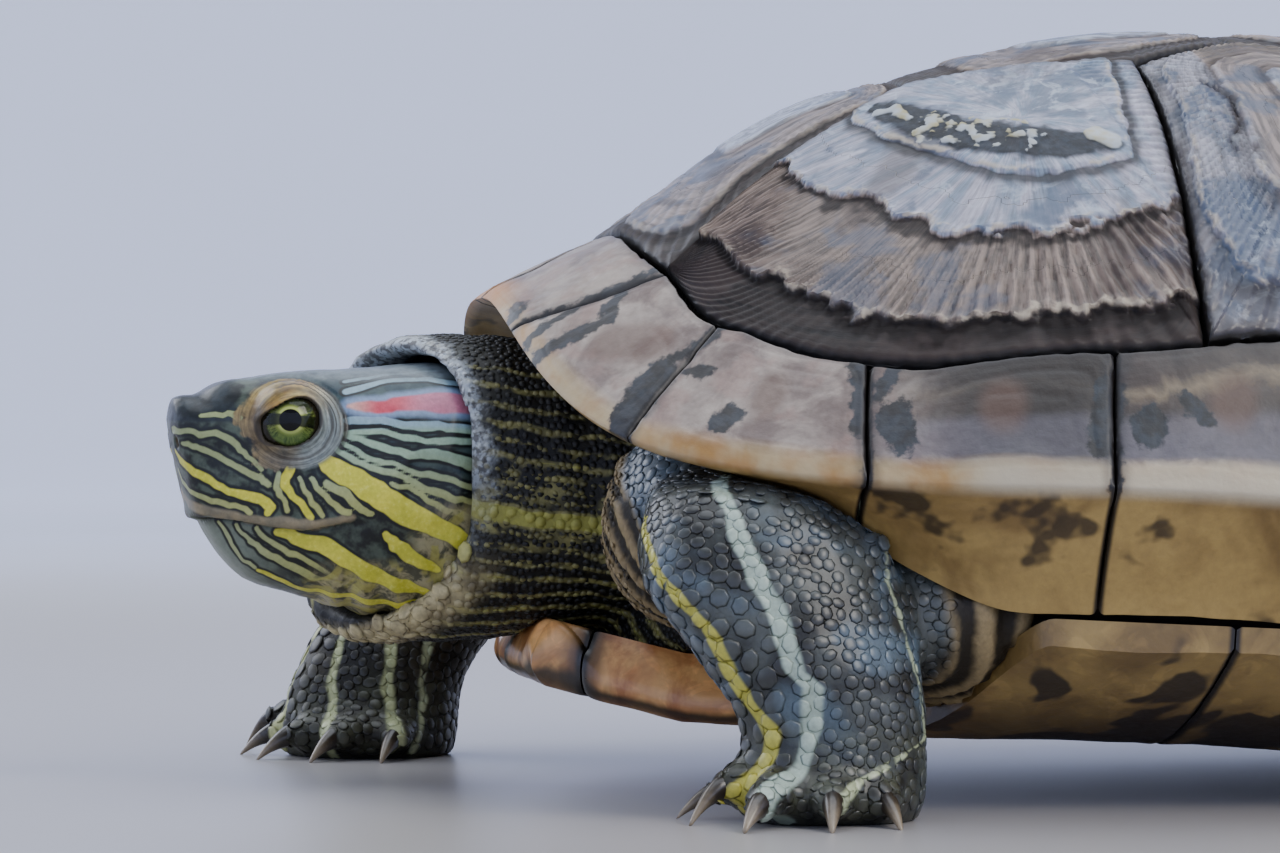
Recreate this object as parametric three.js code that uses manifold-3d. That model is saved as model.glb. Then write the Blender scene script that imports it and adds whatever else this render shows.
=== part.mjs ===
// Red-eared slider turtle (Trachemys scripta elegans), adult female, standing, life size.
// Millimetres, +Z up. The head looks along -Y and the animal's left side is +X.
// The shell is described in its own frame, whose origin lies midway along the shell at rim height,
// and is then pitched nose up and lifted off the floor. Limbs and head are placed over the floor, z = 0.
import * as THREE from 'three';
import { mergeVertices } from 'three/addons/utils/BufferGeometryUtils.js';
import Module from 'manifold-3d';

const wasm = await Module();
wasm.setup();

// ---------------------------------------------------------------- driving dimensions

const GAP = 0.4; // clear space between neighbouring solids

const HALF_LENGTH = 115; // the straight carapace is 230 long
const HALF_WIDTH = 86; // half the shell's width at mid length
const REAR_FLARE = 3.5; // wider by this at the tail, and narrower by this at the front
const FRONT_BLUNTNESS = 2.9; // superellipse powers of the outline
const REAR_BLUNTNESS = 2.35;
const DOME_HEIGHT = 61; // crown of the carapace over the shell's origin
const DOME_POWER = 2.2;
const RIM_LEVEL = -4.6; // the rim's height at the front corners
const ARCH_RISE = 22.2; // how much the rim arches up over the neck
const ARCH_SPREAD = 0.515; // radians
const ARCH_POWER = 2.7;
const SADDLE_DEPTH = 4.3; // the dome dips between the nuchal and the first vertebral
const SEAM_RING = [ // the marginals' inner seam: angle from the front, share of the outline
  [0, 0.855], [0.45, 0.857], [0.65, 0.88], [0.88, 0.897],
  [1.15, 0.873], [1.4, 0.847], [2.5, 0.86], [3.2, 0.86],
];
const SCUTE = 2.3; // thickness of the carapace plates
const RIM_NOSE = 1.7; // thickness of the rim's edge
const NECK_DROP = 5; // the rim's underside falls by this towards its inner wall over the neck
const FREE_DROP = 2.8; // by this where it is free
const BRIDGE_DROP = 17; // and by this where the marginals carry the bridge

const PLASTRON_LEVEL = -36.8;
const PLASTRON_THICK = 3.6;
const LIP_THICK = 9; // the front lobe's edge is this deep, and its very edge half that
const PLASTRON_FRONT = -108;
const PLASTRON_REAR = 98;
const FRONT_LOBE = 45.5; // half widths of the two lobes where they leave the bridge
const REAR_LOBE = 46.5;
const LOBE_TAPER = 26.5; // each lobe narrows by this to its tip
const PLASTRON_TILT = 0.021; // slopes along its length, in millimetres a millimetre
const TIP_RISE = 0.2; // the front tip turns up
const HEEL_RISE = 0.05; // and so does the rear lobe
const BRIDGE_RISE = 13.5; // the bridge climbs this far to the marginals

const FLESH_CLEAR = 2.4; // between the plastron and the flesh over it

const SHELL_PITCH = THREE.MathUtils.degToRad(4);
const SHELL_LIFT = 42.5;

const HEAD_YAW = THREE.MathUtils.degToRad(5);
const SNOUT_Y = -157;
const EYE_RADIUS = 4.9;
const EYE_BACK = 15.8; // behind the snout tip
const EYE_HEIGHT = 49.4;
const EYE_SIDE = 8.4;
const LID_THICK = 1.1;

// ---------------------------------------------------------------- small helpers

const { lerp, clamp, smoothstep } = THREE.MathUtils;
const power = (value, exponent) => Math.sign(value) * Math.abs(value) ** exponent;
const UP = new THREE.Vector3(0, 0, 1);

// A curve through a few stations, each a list of at most six numbers, read at s from 0 to 1.
function stations(rows) {
  const first = new THREE.CatmullRomCurve3(rows.map(([a, b, c]) => new THREE.Vector3(a, b, c)));
  const last = new THREE.CatmullRomCurve3(rows.map(([, , , d, e = 0, f = 0]) => new THREE.Vector3(d, e, f)));
  return (s) => [...first.getPoint(s).toArray(), ...last.getPoint(s).toArray()];
}

// Rounds both ends of a loft off: 0 at s = 0 and s = 1, and 1 between.
function roundEnds(s, start, end) {
  const first = Math.min(1, s / start);
  const last = Math.min(1, (1 - s) / end);
  return Math.sqrt(1 - (1 - first) ** 2) * Math.sqrt(1 - (1 - last) ** 2);
}

function manifoldOf(geometry) {
  geometry.deleteAttribute('normal');
  geometry.deleteAttribute('uv');
  const merged = mergeVertices(geometry, 1e-4);
  const corners = merged.attributes.position;
  const triVerts = new Uint32Array(merged.index.array);
  const a = new THREE.Vector3();
  const b = new THREE.Vector3();
  const c = new THREE.Vector3();
  let volume = 0;
  for (let i = 0; i < triVerts.length; i += 3) {
    a.fromBufferAttribute(corners, triVerts[i]);
    b.fromBufferAttribute(corners, triVerts[i + 1]);
    c.fromBufferAttribute(corners, triVerts[i + 2]);
    volume += a.dot(b.cross(c));
  }
  if (volume < 0) {
    triVerts.reverse();
  }
  const vertProperties = new Float32Array(corners.array);
  return new wasm.Manifold(new wasm.Mesh({ numProp: 3, vertProperties, triVerts }));
}

// A box whose corners (u, v, w), each from 0 to 1, are carried to place(u, v, w).
function block(nu, nv, nw, place) {
  const geometry = new THREE.BoxGeometry(1, 1, 1, nu, nv, nw);
  const { position } = geometry.attributes;
  for (let i = 0; i < position.count; i++) {
    const point = place(position.getX(i) + 0.5, position.getY(i) + 0.5, position.getZ(i) + 0.5);
    position.setXYZ(i, point.x, point.y, point.z);
  }
  return manifoldOf(geometry);
}

// A sphere or torus whose points are carried to place(s, angle).
function wrap(geometry, place) {
  const { position, uv } = geometry.attributes;
  const isRing = geometry.type === 'TorusGeometry';
  for (let i = 0; i < position.count; i++) {
    const s = isRing ? uv.getY(i) % 1 : uv.getY(i);
    const point = place(s, (uv.getX(i) % 1) * 2 * Math.PI);
    position.setXYZ(i, point.x, point.y, point.z);
  }
  return manifoldOf(geometry);
}

const loft = (around, along, place) => wrap(new THREE.SphereGeometry(1, around, along), place);

function ellipsoid(around, along, centre, radii, turn = 0) {
  return loft(around, along, (s, angle) => {
    const ring = Math.sin(Math.PI * s);
    const point = new THREE.Vector3(ring * Math.cos(angle), ring * Math.sin(angle), Math.cos(Math.PI * s));
    point.multiply(radii).applyAxisAngle(UP, turn);
    return point.add(centre);
  });
}

// Cutting can leave slivers behind: the largest body is the piece itself.
function wholePiece(solid) {
  const bodies = solid.decompose();
  bodies.sort((a, b) => b.volume() - a.volume());
  return bodies[0];
}

// ---------------------------------------------------------------- the shell's form

const shellMatrix = new THREE.Matrix4().makeRotationX(-SHELL_PITCH).setPosition(0, 0, SHELL_LIFT);
const inWorld = (point) => point.applyMatrix4(shellMatrix);

const halfWidth = (y) => HALF_WIDTH + (REAR_FLARE * y) / HALF_LENGTH;
const bluntness = (y) => (y < 0 ? FRONT_BLUNTNESS : REAR_BLUNTNESS);

// A place on a ring of the outline: angle 0 is over the neck, +PI/2 the left side, PI the tail.
function onRing(share, angle) {
  const side = Math.sin(angle);
  const back = -Math.cos(angle);
  const m = bluntness(back);
  const reach = share / (Math.abs(side) ** m + Math.abs(back) ** m) ** (1 / m);
  const y = reach * HALF_LENGTH * back;
  return new THREE.Vector2(reach * halfWidth(y) * side, y);
}

function ringOf(x, y) {
  const across = Math.abs(x) / halfWidth(y);
  const along = Math.abs(y) / HALF_LENGTH;
  const m = bluntness(y);
  return { share: (across ** m + along ** m) ** (1 / m), angle: Math.atan2(across, -y / HALF_LENGTH) };
}

function rimHeight(angle) {
  const around = Math.abs(angle);
  const arch = ARCH_RISE * Math.exp(-((around / ARCH_SPREAD) ** ARCH_POWER));
  return RIM_LEVEL + arch + 1.7 * smoothstep(around, 0.9, 1.3) + 2.3 * smoothstep(around, 1.3, 2.8);
}

function domeHeight(x, y) {
  const { share, angle } = ringOf(x, y);
  const rim = rimHeight(angle);
  const saddle = SADDLE_DEPTH * Math.exp(-(((share - 0.85) / 0.125) ** 2) - (angle / 0.42) ** 2);
  return rim + (DOME_HEIGHT - rim) * (1 - share ** DOME_POWER) - saddle;
}

// A point this deep under the carapace's outer face, in the shell's frame.
function underDome(x, y, depth) {
  const step = 0.5;
  const slopeX = (domeHeight(x + step, y) - domeHeight(x - step, y)) / (2 * step);
  const slopeY = (domeHeight(x, y + step) - domeHeight(x, y - step)) / (2 * step);
  const normal = new THREE.Vector3(-slopeX, -slopeY, 1).normalize();
  return new THREE.Vector3(x, y, domeHeight(x, y)).addScaledVector(normal, -depth);
}

// How far the marginals reach down: little where they are free, far along the bridge.
function marginalDrop(x, y) {
  const bridge = smoothstep(y, -90, -50) * (1 - smoothstep(y, 42, 66));
  const overNeck = y < 0 ? 1 - smoothstep(Math.abs(x), 20, 40) : 0;
  return lerp(lerp(FREE_DROP, NECK_DROP, overNeck), BRIDGE_DROP, bridge);
}

// The seam between the marginals and the scutes inside them, as a share of the outline.
function seamRing(angle) {
  const around = Math.abs(angle);
  const next = SEAM_RING.findIndex((stop) => stop[0] > around);
  const [from, low] = SEAM_RING[next - 1];
  const [to, high] = SEAM_RING[next];
  return lerp(low, high, smoothstep(around, from, to));
}

// How far out the marginals' inner wall stands beside the bridge.
const innerWall = (y) => {
  const m = bluntness(y);
  const along = Math.abs(y) / HALF_LENGTH;
  const share = seamRing(Math.atan2(0.85, -y / HALF_LENGTH));
  return halfWidth(y) * Math.max(0, share ** m - along ** m) ** (1 / m);
};

// Half the plastron's width: two tapering lobes, and the bridge that runs out to the marginals.
function plastronEdge(y) {
  const front = FRONT_LOBE - LOBE_TAPER * clamp((-58 - y) / 50, 0, 1) ** 2;
  const rear = REAR_LOBE - (LOBE_TAPER + 2) * clamp((y - 50) / 48, 0, 1) ** 2.2;
  const bridge = smoothstep(y, -64, -48) * (1 - smoothstep(y, 38, 52));
  return lerp(y < 0 ? front : rear, innerWall(y) - GAP, bridge);
}

function plastronFace(x, y) {
  const reach = clamp((Math.abs(x) - 42) / Math.max(20, innerWall(y) - 42), 0, 1.1);
  const tip = Math.max(0, -88 - y) * TIP_RISE;
  const heel = Math.max(0, y - 55) * HEEL_RISE;
  return PLASTRON_LEVEL + PLASTRON_TILT * y + BRIDGE_RISE * reach ** 1.7 + tip + heel;
}

// The lobes are thick along their edges, the front one most.
const lobeAt = (y) => (y < 0 ? 1 - smoothstep(y, -72, -52) : 0.4 * smoothstep(y, 44, 60));

function plastronThickness(x, y) {
  const out = Math.abs(x) / plastronEdge(y);
  const lip = smoothstep(out, 0.45, 0.86) - 0.8 * smoothstep(out, 0.86, 1);
  const tip = y < 0 ? smoothstep(-y, 96, 104) - 0.75 * smoothstep(-y, 104, 108) : 0;
  return PLASTRON_THICK + (LIP_THICK - PLASTRON_THICK) * lobeAt(y) * clamp(Math.max(lip, tip), 0, 1);
}

// Where the flesh over the plastron begins.
function fleshFloor(x, y) {
  const lip = (LIP_THICK - PLASTRON_THICK) * lobeAt(y) * smoothstep(Math.abs(x) / plastronEdge(y), 0.2, 0.55);
  return plastronFace(x, y) + PLASTRON_THICK + lip + FLESH_CLEAR;
}

// ---------------------------------------------------------------- the plates

// The seam between the vertebral and the costal scutes on the left side, front to rear.
const ZIGZAG = [
  [33, -94.7], [17.5, -60], [26, -31], [18, -16], [26, 14],
  [17, 29], [24, 57], [14, 70], [33, 92.7],
];
const SEAM = GAP / 2;
const FINE = 0.0025; // the same half seam as a share of the outline, or in radians

function zigzagAt(y) {
  const reached = ZIGZAG.filter((corner) => corner[1] < y).length;
  const next = clamp(reached, 1, ZIGZAG.length - 1);
  const [x0, y0] = ZIGZAG[next - 1];
  const [x1, y1] = ZIGZAG[next];
  return lerp(x0, x1, clamp((y - y0) / (y1 - y0), 0, 1));
}

// Each vertebral scute spans the zigzag's runs between these places; the first and last end on the seam ring.
const VERTEBRAL_ROWS = [[-94.7, -77, -60], [-60, -31, -16], [-16, 14, 29], [29, 57, 70], [70, 81, 92.7]];

function vertebral(index) {
  const [start, middle, end] = VERTEBRAL_ROWS[index];
  const ringEnd = index === 0 ? start : end;
  return block(index === 0 || index === 4 ? 8 : 4, 4, 1, (u, v, w) => {
    const out = 2 * u - 1;
    let front = start + SEAM;
    let rear = end - SEAM;
    if (index === 0 || index === 4) {
      const m = bluntness(ringEnd);
      const across = Math.abs(out * zigzagAt(ringEnd)) / halfWidth(ringEnd);
      const ring = seamRing(index === 0 ? 0 : Math.PI) - FINE;
      const edge = Math.sign(ringEnd) * HALF_LENGTH * (ring ** m - across ** m) ** (1 / m);
      front = index === 0 ? edge : front;
      rear = index === 4 ? edge : rear;
    }
    const y = v < 0.5 ? lerp(front, middle, 2 * v) : lerp(middle, rear, 2 * v - 1);
    const x = out * (zigzagAt(y) - SEAM);
    return inWorld(underDome(x, y, w < 0.5 ? SCUTE : 0));
  });
}

const COSTAL_ENDS = [0.475, 1.261, 1.729, 2.177, 2.69]; // radians along the seam ring

function costal(index, side) {
  const inner = ZIGZAG.slice(2 * index, 2 * index + 3);
  return block(4, index === 0 ? 8 : 4, 1, (u, v, w) => {
    const run = v < 0.5 ? 0 : 1;
    const step = 2 * v - run;
    const squeeze = SEAM * (1 - 2 * v);
    const x0 = lerp(inner[run][0], inner[run + 1][0], step) + SEAM;
    const y0 = lerp(inner[run][1], inner[run + 1][1], step) + squeeze;
    const angle = lerp(COSTAL_ENDS[index] + FINE, COSTAL_ENDS[index + 1] - FINE, v);
    const outer = onRing(seamRing(angle) - FINE, angle);
    const x = lerp(x0, outer.x, u);
    const y = lerp(y0, outer.y, u);
    const point = underDome(x, y, w < 0.5 ? SCUTE : 0);
    point.x *= side;
    return inWorld(point);
  });
}

// Where the marginals meet each other, at the rim and at the seam ring, in radians from the front.
const RIM_SEAMS = [
  0.0434, 0.3155, 0.6451, 0.9458, 1.193, 1.415, 1.632,
  1.857, 2.068, 2.315, 2.544, 2.802, Math.PI,
];
const RING_SEAMS = [
  0.045, 0.468, 0.64, 0.8817, 1.155, 1.405, 1.632,
  1.862, 2.078, 2.32, 2.55, 2.81, Math.PI,
];

// One point of a marginal's section: v runs from its inner wall to the rim, w from underside to top.
function marginalPoint(ringAngle, rimAngle, v, w, grow) {
  const inner = seamRing(ringAngle) + FINE - grow / HALF_WIDTH;
  const share = lerp(inner, 1 + grow / HALF_WIDTH, v);
  const plan = onRing(share, lerp(ringAngle, rimAngle, v));
  if (w > 0.5) {
    return new THREE.Vector3(plan.x, plan.y, domeHeight(plan.x, plan.y) + grow);
  }
  const rim = rimHeight(rimAngle);
  const drop = lerp(marginalDrop(plan.x, plan.y), RIM_NOSE, v ** 0.8);
  return new THREE.Vector3(plan.x, plan.y, rim - drop - grow);
}

function marginal(index, side, grow = 0) {
  const inset = FINE - grow / HALF_WIDTH;
  return block(3, 2, 1, (u, v, w) => {
    const ringAngle = lerp(RING_SEAMS[index] + inset, RING_SEAMS[index + 1] - inset, u);
    const rimAngle = lerp(RIM_SEAMS[index] + inset, RIM_SEAMS[index + 1] - inset, u);
    const point = marginalPoint(ringAngle, rimAngle, v, w, grow);
    point.x *= side;
    return inWorld(point);
  });
}

const nuchal = () => block(2, 2, 1, (u, v, w) => {
  const angle = lerp(-RIM_SEAMS[0] + FINE, RIM_SEAMS[0] - FINE, u);
  return inWorld(marginalPoint(angle, angle, v, w, 0));
});

// Everything the ring of marginals fills, with the usual gap around it.
const marginalSpace = [1, -1]
  .flatMap((side) => Array.from({ length: 12 }, (_, index) => marginal(index, side, GAP)))
  .reduce((whole, plate) => whole.add(plate), nuchal());

// Plastron scutes from front to rear, each pair one plate of the fused breast bone: their seams' places
// on the midline and at the outer edge.
const PLASTRON_NAMES = ['gulars', 'humerals', 'pectorals', 'abdominals', 'femorals', 'anals'];
const MIDLINE_SEAMS = [PLASTRON_FRONT, -88, -66, -28, 32, 62, PLASTRON_REAR - 4];
const EDGE_SEAMS = [PLASTRON_FRONT + 1, -101, -60, -25, 40, 74, PLASTRON_REAR];

function plastronPlate(index, grow = 0) {
  const bridged = index === 2 || index === 3;
  return block(bridged ? 10 : 8, bridged ? 4 : 3, 1, (u, v, w) => {
    const step = Math.abs(2 * u - 1);
    const out = bridged ? step : 1 - (1 - step) ** 1.6;
    const front = lerp(MIDLINE_SEAMS[index], EDGE_SEAMS[index], out) + SEAM - grow;
    const rear = lerp(MIDLINE_SEAMS[index + 1], EDGE_SEAMS[index + 1], out) - SEAM + grow;
    const y = lerp(front, rear, v);
    const x = Math.sign(u - 0.5) * out * plastronEdge(y);
    const z = plastronFace(x, y) + (w > 0.5 ? plastronThickness(x, y) + grow : -grow);
    return inWorld(new THREE.Vector3(x + Math.sign(u - 0.5) * out * grow, y, z));
  });
}

// Everything the plastron fills, with the usual gap around it.
const plastronSpace = PLASTRON_NAMES
  .map((plates, i) => plastronPlate(i, GAP))
  .reduce((whole, plate) => whole.add(plate));

// ---------------------------------------------------------------- the body inside the shell

// The space between the plates, from the crown (s = 1) round the side to the plastron (s = 0).
function bodyInside(grow, around, along) {
  return loft(around, along, (s, turn) => {
    const angle = turn > Math.PI ? turn - 2 * Math.PI : turn;
    const free = smoothstep(Math.abs(Math.cos(angle)), 0.45, 0.8);
    const reach = lerp(seamRing(angle) - 0.017, 0.8, free) + grow / HALF_WIDTH;
    const edge = Math.floor(along / 2 - 0.5) / along;
    const share = reach * Math.min(1, s / edge, (1 - s) / edge);
    const plan = onRing(share, angle);
    const roof = underDome(plan.x, plan.y, SCUTE + 1 - grow);
    const rise = clamp((s - edge) / (1 - 2 * edge), 0, 1);
    return inWorld(new THREE.Vector3(plan.x, plan.y, fleshFloor(plan.x, plan.y) - grow).lerp(roof, rise));
  });
}

// A box across the whole animal, from one place along it to another and from one height up.
const slab = (y0, y1, floor = -50) => block(1, 1, 1, (u, v, w) => (
  new THREE.Vector3(lerp(-200, 200, u), lerp(y0, y1, v), lerp(floor, 200, w))
));
const overFloor = slab(-300, 300, 0);
const TRUNK_FRONT = -70; // the neck's flesh begins here
const TRUNK_REAR = 72; // and the tail's here
const inside = bodyInside(0, 22, 10);
const insideSpace = bodyInside(1.4, 22, 8);

// ---------------------------------------------------------------- head, jaw and eyes

// The head's stations back from the snout: distance, top, bottom, half width.
const headShape = stations([
  [0, 52.3, 41, 3.4],
  [2.2, 53.6, 34, 6.6],
  [8, 55.3, 29.4, 9.6],
  [17, 56.8, 26.8, 12.6],
  [27, 57.3, 25.3, 15.4],
  [38, 57.8, 24.6, 16.8],
  [50, 56.5, 28.5, 15.5],
]);

const neckPivot = new THREE.Vector3(0, -108, 0);
const turnHead = (point) => point.sub(neckPivot).applyAxisAngle(UP, HEAD_YAW).add(neckPivot);

function headLoft(around, along, growAt) {
  return loft(around, along, (s, angle) => {
    const back = (1 - s) ** 1.25;
    const [behind, top, bottom, wide] = headShape(back);
    const grow = growAt(behind);
    const ends = roundEnds(back, 0.09, 0.2);
    const middle = (top + bottom) / 2;
    const across = power(Math.cos(angle), 0.8) * (wide + grow) * ends;
    const upright = Math.sin(angle);
    const high = power(upright, upright > 0 ? 0.78 : 0.92) * ((top - bottom) / 2 + grow) * ends;
    const slant = 0.17 * Math.max(0, 50 - middle - high) * (1 - smoothstep(behind, 0, 14));
    const y = SNOUT_Y + behind + slant - grow * (1 - 2 * back);
    return turnHead(new THREE.Vector3(across, y, middle + high));
  });
}

// Everything under the line of the mouth and in front of the jaw's corner.
function jawSpace(grow) {
  return block(1, 8, 1, (u, v, w) => {
    const behind = lerp(-6, 27 + grow, v);
    const mouth = 36.9 - 1.6 * Math.exp(-(((behind - 19) / 6) ** 2)) - 0.5 * smoothstep(behind, 22, 27);
    const lean = w < 0.5 ? 5 * smoothstep(behind, 15, 27) : 0;
    const z = w < 0.5 ? 10 : mouth + grow;
    return turnHead(new THREE.Vector3(lerp(-30, 30, u), SNOUT_Y + behind + lean, z));
  });
}

const eyeCentre = (side) => turnHead(new THREE.Vector3(side * EYE_SIDE, SNOUT_Y + EYE_BACK, EYE_HEIGHT));
const eyeBall = (side, radius, around, along) => (
  ellipsoid(around, along, eyeCentre(side), new THREE.Vector3(radius, radius, radius))
);

// The lids: a thin shell over the eyeball, open where the eye looks out.
function lids(side) {
  const centre = eyeCentre(side);
  const shell = EYE_RADIUS + GAP + LID_THICK;
  const opening = eyeCentre(side).add(new THREE.Vector3(side * EYE_RADIUS, -0.6, 0.1));
  const cover = ellipsoid(10, 6, centre, new THREE.Vector3(shell, shell + 0.7, shell + 0.2));
  return cover.subtract(ellipsoid(8, 5, opening, new THREE.Vector3(3.4, 4, 3.1)));
}

function head() {
  let solid = headLoft(16, 11, () => 0).subtract(jawSpace(GAP)).subtract(plastronSpace);
  for (const side of [-1, 1]) {
    solid = solid.add(lids(side)).subtract(eyeBall(side, EYE_RADIUS + GAP, 10, 6));
  }
  return solid;
}

const jaw = () => headLoft(16, 12, () => -0.4).intersect(jawSpace(0));

// ---------------------------------------------------------------- neck and hood

// The neck skin is folded into a hood round the back of the head. Its lip reaches furthest forward
// under the throat. Stations run back from the lip: distance back, top, bottom, half width.
const LIP_SKEW = 0.36; // the lip turns with the head
const neckShape = stations([
  [0, 60.6, 20.2, 19.3],
  [7, 61.3, 19.6, 21.2],
  [16, 61, 20.5, 23.5],
  [28, 62, 22, 29],
  [44, 66, 24, 38],
]);

function neckLoft() {
  return loft(22, 11, (s, angle) => {
    const back = 1 - s;
    const [behind, top, bottom, wide] = neckShape(clamp((back - 0.12) / 0.88, 0, 1));
    const ends = roundEnds(back, 0.2, 0.15);
    const up = Math.sin(angle);
    const lip = -123.5 - Math.max(0, up) ** 2 - 10 * Math.max(0, -up) ** 1.8;
    const fade = Math.min(1, back / 0.09) * (1 - smoothstep(behind, 4, 30));
    const across = power(Math.cos(angle), 0.92) * wide * ends;
    const y = lerp(-112, lip + LIP_SKEW * across, fade) + behind;
    const high = power(up, 0.92) * ((top - bottom) / 2) * ends;
    return new THREE.Vector3(across, y, (top + bottom) / 2 + high);
  });
}

const looseFit = (behind) => lerp(1.5, GAP, smoothstep(behind, 38, 47));

function neck() {
  const hood = neckLoft().subtract(marginalSpace).subtract(plastronSpace);
  const shoulders = inside.intersect(slab(-200, TRUNK_FRONT - GAP));
  return hood.intersect(slab(-200, TRUNK_FRONT - GAP)).add(shoulders).subtract(headLoft(16, 9, looseFit));
}

// ---------------------------------------------------------------- legs and tail

// A claw: a thin cone that curves down from its root.
function claw(root, heading, length, thick) {
  const forward = new THREE.Vector3(Math.cos(heading), Math.sin(heading), 0);
  const sideways = new THREE.Vector3(-forward.y, forward.x, 0);
  return loft(4, 3, (s, angle) => {
    const along = 1 - s;
    const radius = thick * roundEnds(along, 0.3, 0.9);
    const point = root.clone().addScaledVector(forward, (along - 0.2) * length);
    point.addScaledVector(sideways, radius * Math.cos(angle));
    point.z += radius * Math.sin(angle) - 0.28 * length * along * along;
    return point;
  });
}

// A toe: a stubby finger that ends over the floor.
function toe(root, heading, length, thick) {
  const forward = new THREE.Vector3(Math.cos(heading), Math.sin(heading), 0);
  const sideways = new THREE.Vector3(-forward.y, forward.x, 0);
  return loft(5, 4, (s, angle) => {
    const along = 1 - s;
    const radius = thick * roundEnds(along, 0.4, 0.35);
    const point = root.clone().addScaledVector(forward, along * length);
    point.addScaledVector(sideways, radius * Math.cos(angle));
    point.z += 0.85 * radius * Math.sin(angle);
    return point;
  });
}

// A leg is a stack of level oval slices from the shoulder or hip down to a foot with toes and claws.
// Stations from the top: x, y, z, half size across the oval, half size along it, turn of the oval.
function leg({ slices, foot, toes, toeLength, toeThick, clawLength, fan, heading, side }) {
  const shape = stations(slices);
  const limb = loft(9, 8, (s, angle) => {
    const [x, y, z, across, along, turn] = shape(1 - s);
    const ends = roundEnds(1 - s, 0.12, 0.08);
    const oval = new THREE.Vector3(across * Math.cos(angle), along * Math.sin(angle), 0).multiplyScalar(ends);
    oval.applyAxisAngle(UP, turn);
    return new THREE.Vector3(side * (x + oval.x), y + oval.y, z);
  });
  const paddle = loft(8, 5, (s, angle) => {
    const ring = Math.sin(Math.PI * s);
    const flat = new THREE.Vector3(foot.long * ring * Math.cos(angle), foot.wide * ring * Math.sin(angle), 0);
    flat.applyAxisAngle(UP, heading);
    const z = foot.z + foot.high * Math.cos(Math.PI * s);
    return new THREE.Vector3(side * (foot.x + flat.x), foot.y + flat.y, z);
  });
  let solid = limb.add(paddle);
  for (let i = 0; i < toes; i++) {
    const spread = toes > 1 ? i / (toes - 1) - 0.5 : 0;
    const ray = side > 0 ? heading + fan * spread : Math.PI - heading - fan * spread;
    const forward = new THREE.Vector3(Math.cos(ray), Math.sin(ray), 0);
    const sideways = new THREE.Vector3(-forward.y, forward.x, 0);
    const base = new THREE.Vector3(side * foot.x, foot.y, toeThick * 0.7);
    base.addScaledVector(forward, foot.long * 0.62);
    base.addScaledVector(sideways, side * spread * foot.wide * 0.7);
    const length = toeLength * (1 - 0.9 * spread * spread);
    solid = solid.add(toe(base, ray, length, toeThick));
    const tip = base.clone().addScaledVector(forward, length - toeThick * 0.45);
    tip.z = toeThick * 0.95;
    solid = solid.add(claw(tip, ray, clawLength, toeThick * 0.46));
  }
  return solid.subtract(insideSpace).subtract(marginalSpace).subtract(plastronSpace).intersect(overFloor);
}

const legFrontLeft = () => leg({
  side: 1,
  slices: [
    [46, -84, 44, 15, 12, 0],
    [58, -85.5, 39, 12.5, 14, 0],
    [64, -84.5, 30, 11, 16.5, 0],
    [68, -81.5, 20, 10, 14, 0],
    [70, -79.5, 12, 9, 11.8, 0.1],
    [69, -80, 4, 10, 12, 0.1],
    [69, -80, -2, 9.5, 11, 0.1],
  ],
  foot: { x: 68.5, y: -81, z: 3.6, long: 11.5, wide: 10.5, high: 5.4 },
  heading: -1.2,
  fan: 1.35,
  toes: 5,
  toeLength: 4.5,
  toeThick: 3,
  clawLength: 5,
});

const legFrontRight = () => leg({
  side: -1,
  slices: [
    [46, -84, 42, 14, 13, 0],
    [55, -94, 37, 12, 14, 0],
    [59, -107, 29, 11, 15, 0],
    [58, -117, 19, 10, 13.5, 0],
    [56, -122, 11, 9, 12.5, 0],
    [55, -122, 3, 10.5, 13, 0],
    [55, -122, -2, 9.5, 12, 0],
  ],
  foot: { x: 55, y: -123, z: 3.6, long: 12, wide: 11, high: 5.4 },
  heading: -1.4,
  fan: 1.35,
  toes: 5,
  toeLength: 4.5,
  toeThick: 3,
  clawLength: 5,
});

const hindLeg = (side, y, reach, heading) => leg({
  side,
  slices: [
    [42, y - 14, 31, 15, 14, 0],
    [58, y - 9, 27, 14, 15, 0],
    [68 + reach, y - 3, 20, 12, 14, 0],
    [71 + reach, y + 3, 12, 10, 12.5, 0],
    [71 + reach, y + 4, 4, 12, 13, 0],
    [71 + reach, y + 4, -2, 11, 12, 0],
  ],
  foot: { x: 75 + reach, y: y + 3, z: 3.4, long: 17, wide: 13.5, high: 5 },
  heading,
  fan: 1.15,
  toes: 4,
  toeLength: 12,
  toeThick: 3.2,
  clawLength: 6.5,
});

// The tail's stations: x, y, z, half width, half height.
const tailShape = stations([
  [0, 76, 22, 15, 11],
  [0, 92, 19, 11, 9],
  [-2, 106, 14.5, 7, 6.3],
  [-7, 118, 9.5, 4.6, 4.3],
  [-14, 127, 6.2, 2.8, 2.7],
  [-21, 132, 4.4, 1.3, 1.3],
]);

function tail() {
  const solid = loft(10, 11, (s, angle) => {
    const [x, y, z, wide, high] = tailShape(1 - s);
    const ends = roundEnds(1 - s, 0.1, 0.12);
    const across = wide * ends * Math.cos(angle);
    const rise = high * ends * Math.sin(angle);
    return new THREE.Vector3(x + across, y + 0.4 * rise, z + rise);
  });
  const rump = inside.intersect(slab(TRUNK_REAR + GAP, 200));
  const clear = solid.subtract(marginalSpace).subtract(plastronSpace).intersect(overFloor);
  return clear.intersect(slab(TRUNK_REAR + GAP, 200)).add(rump);
}

// ---------------------------------------------------------------- finishes and the group

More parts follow.
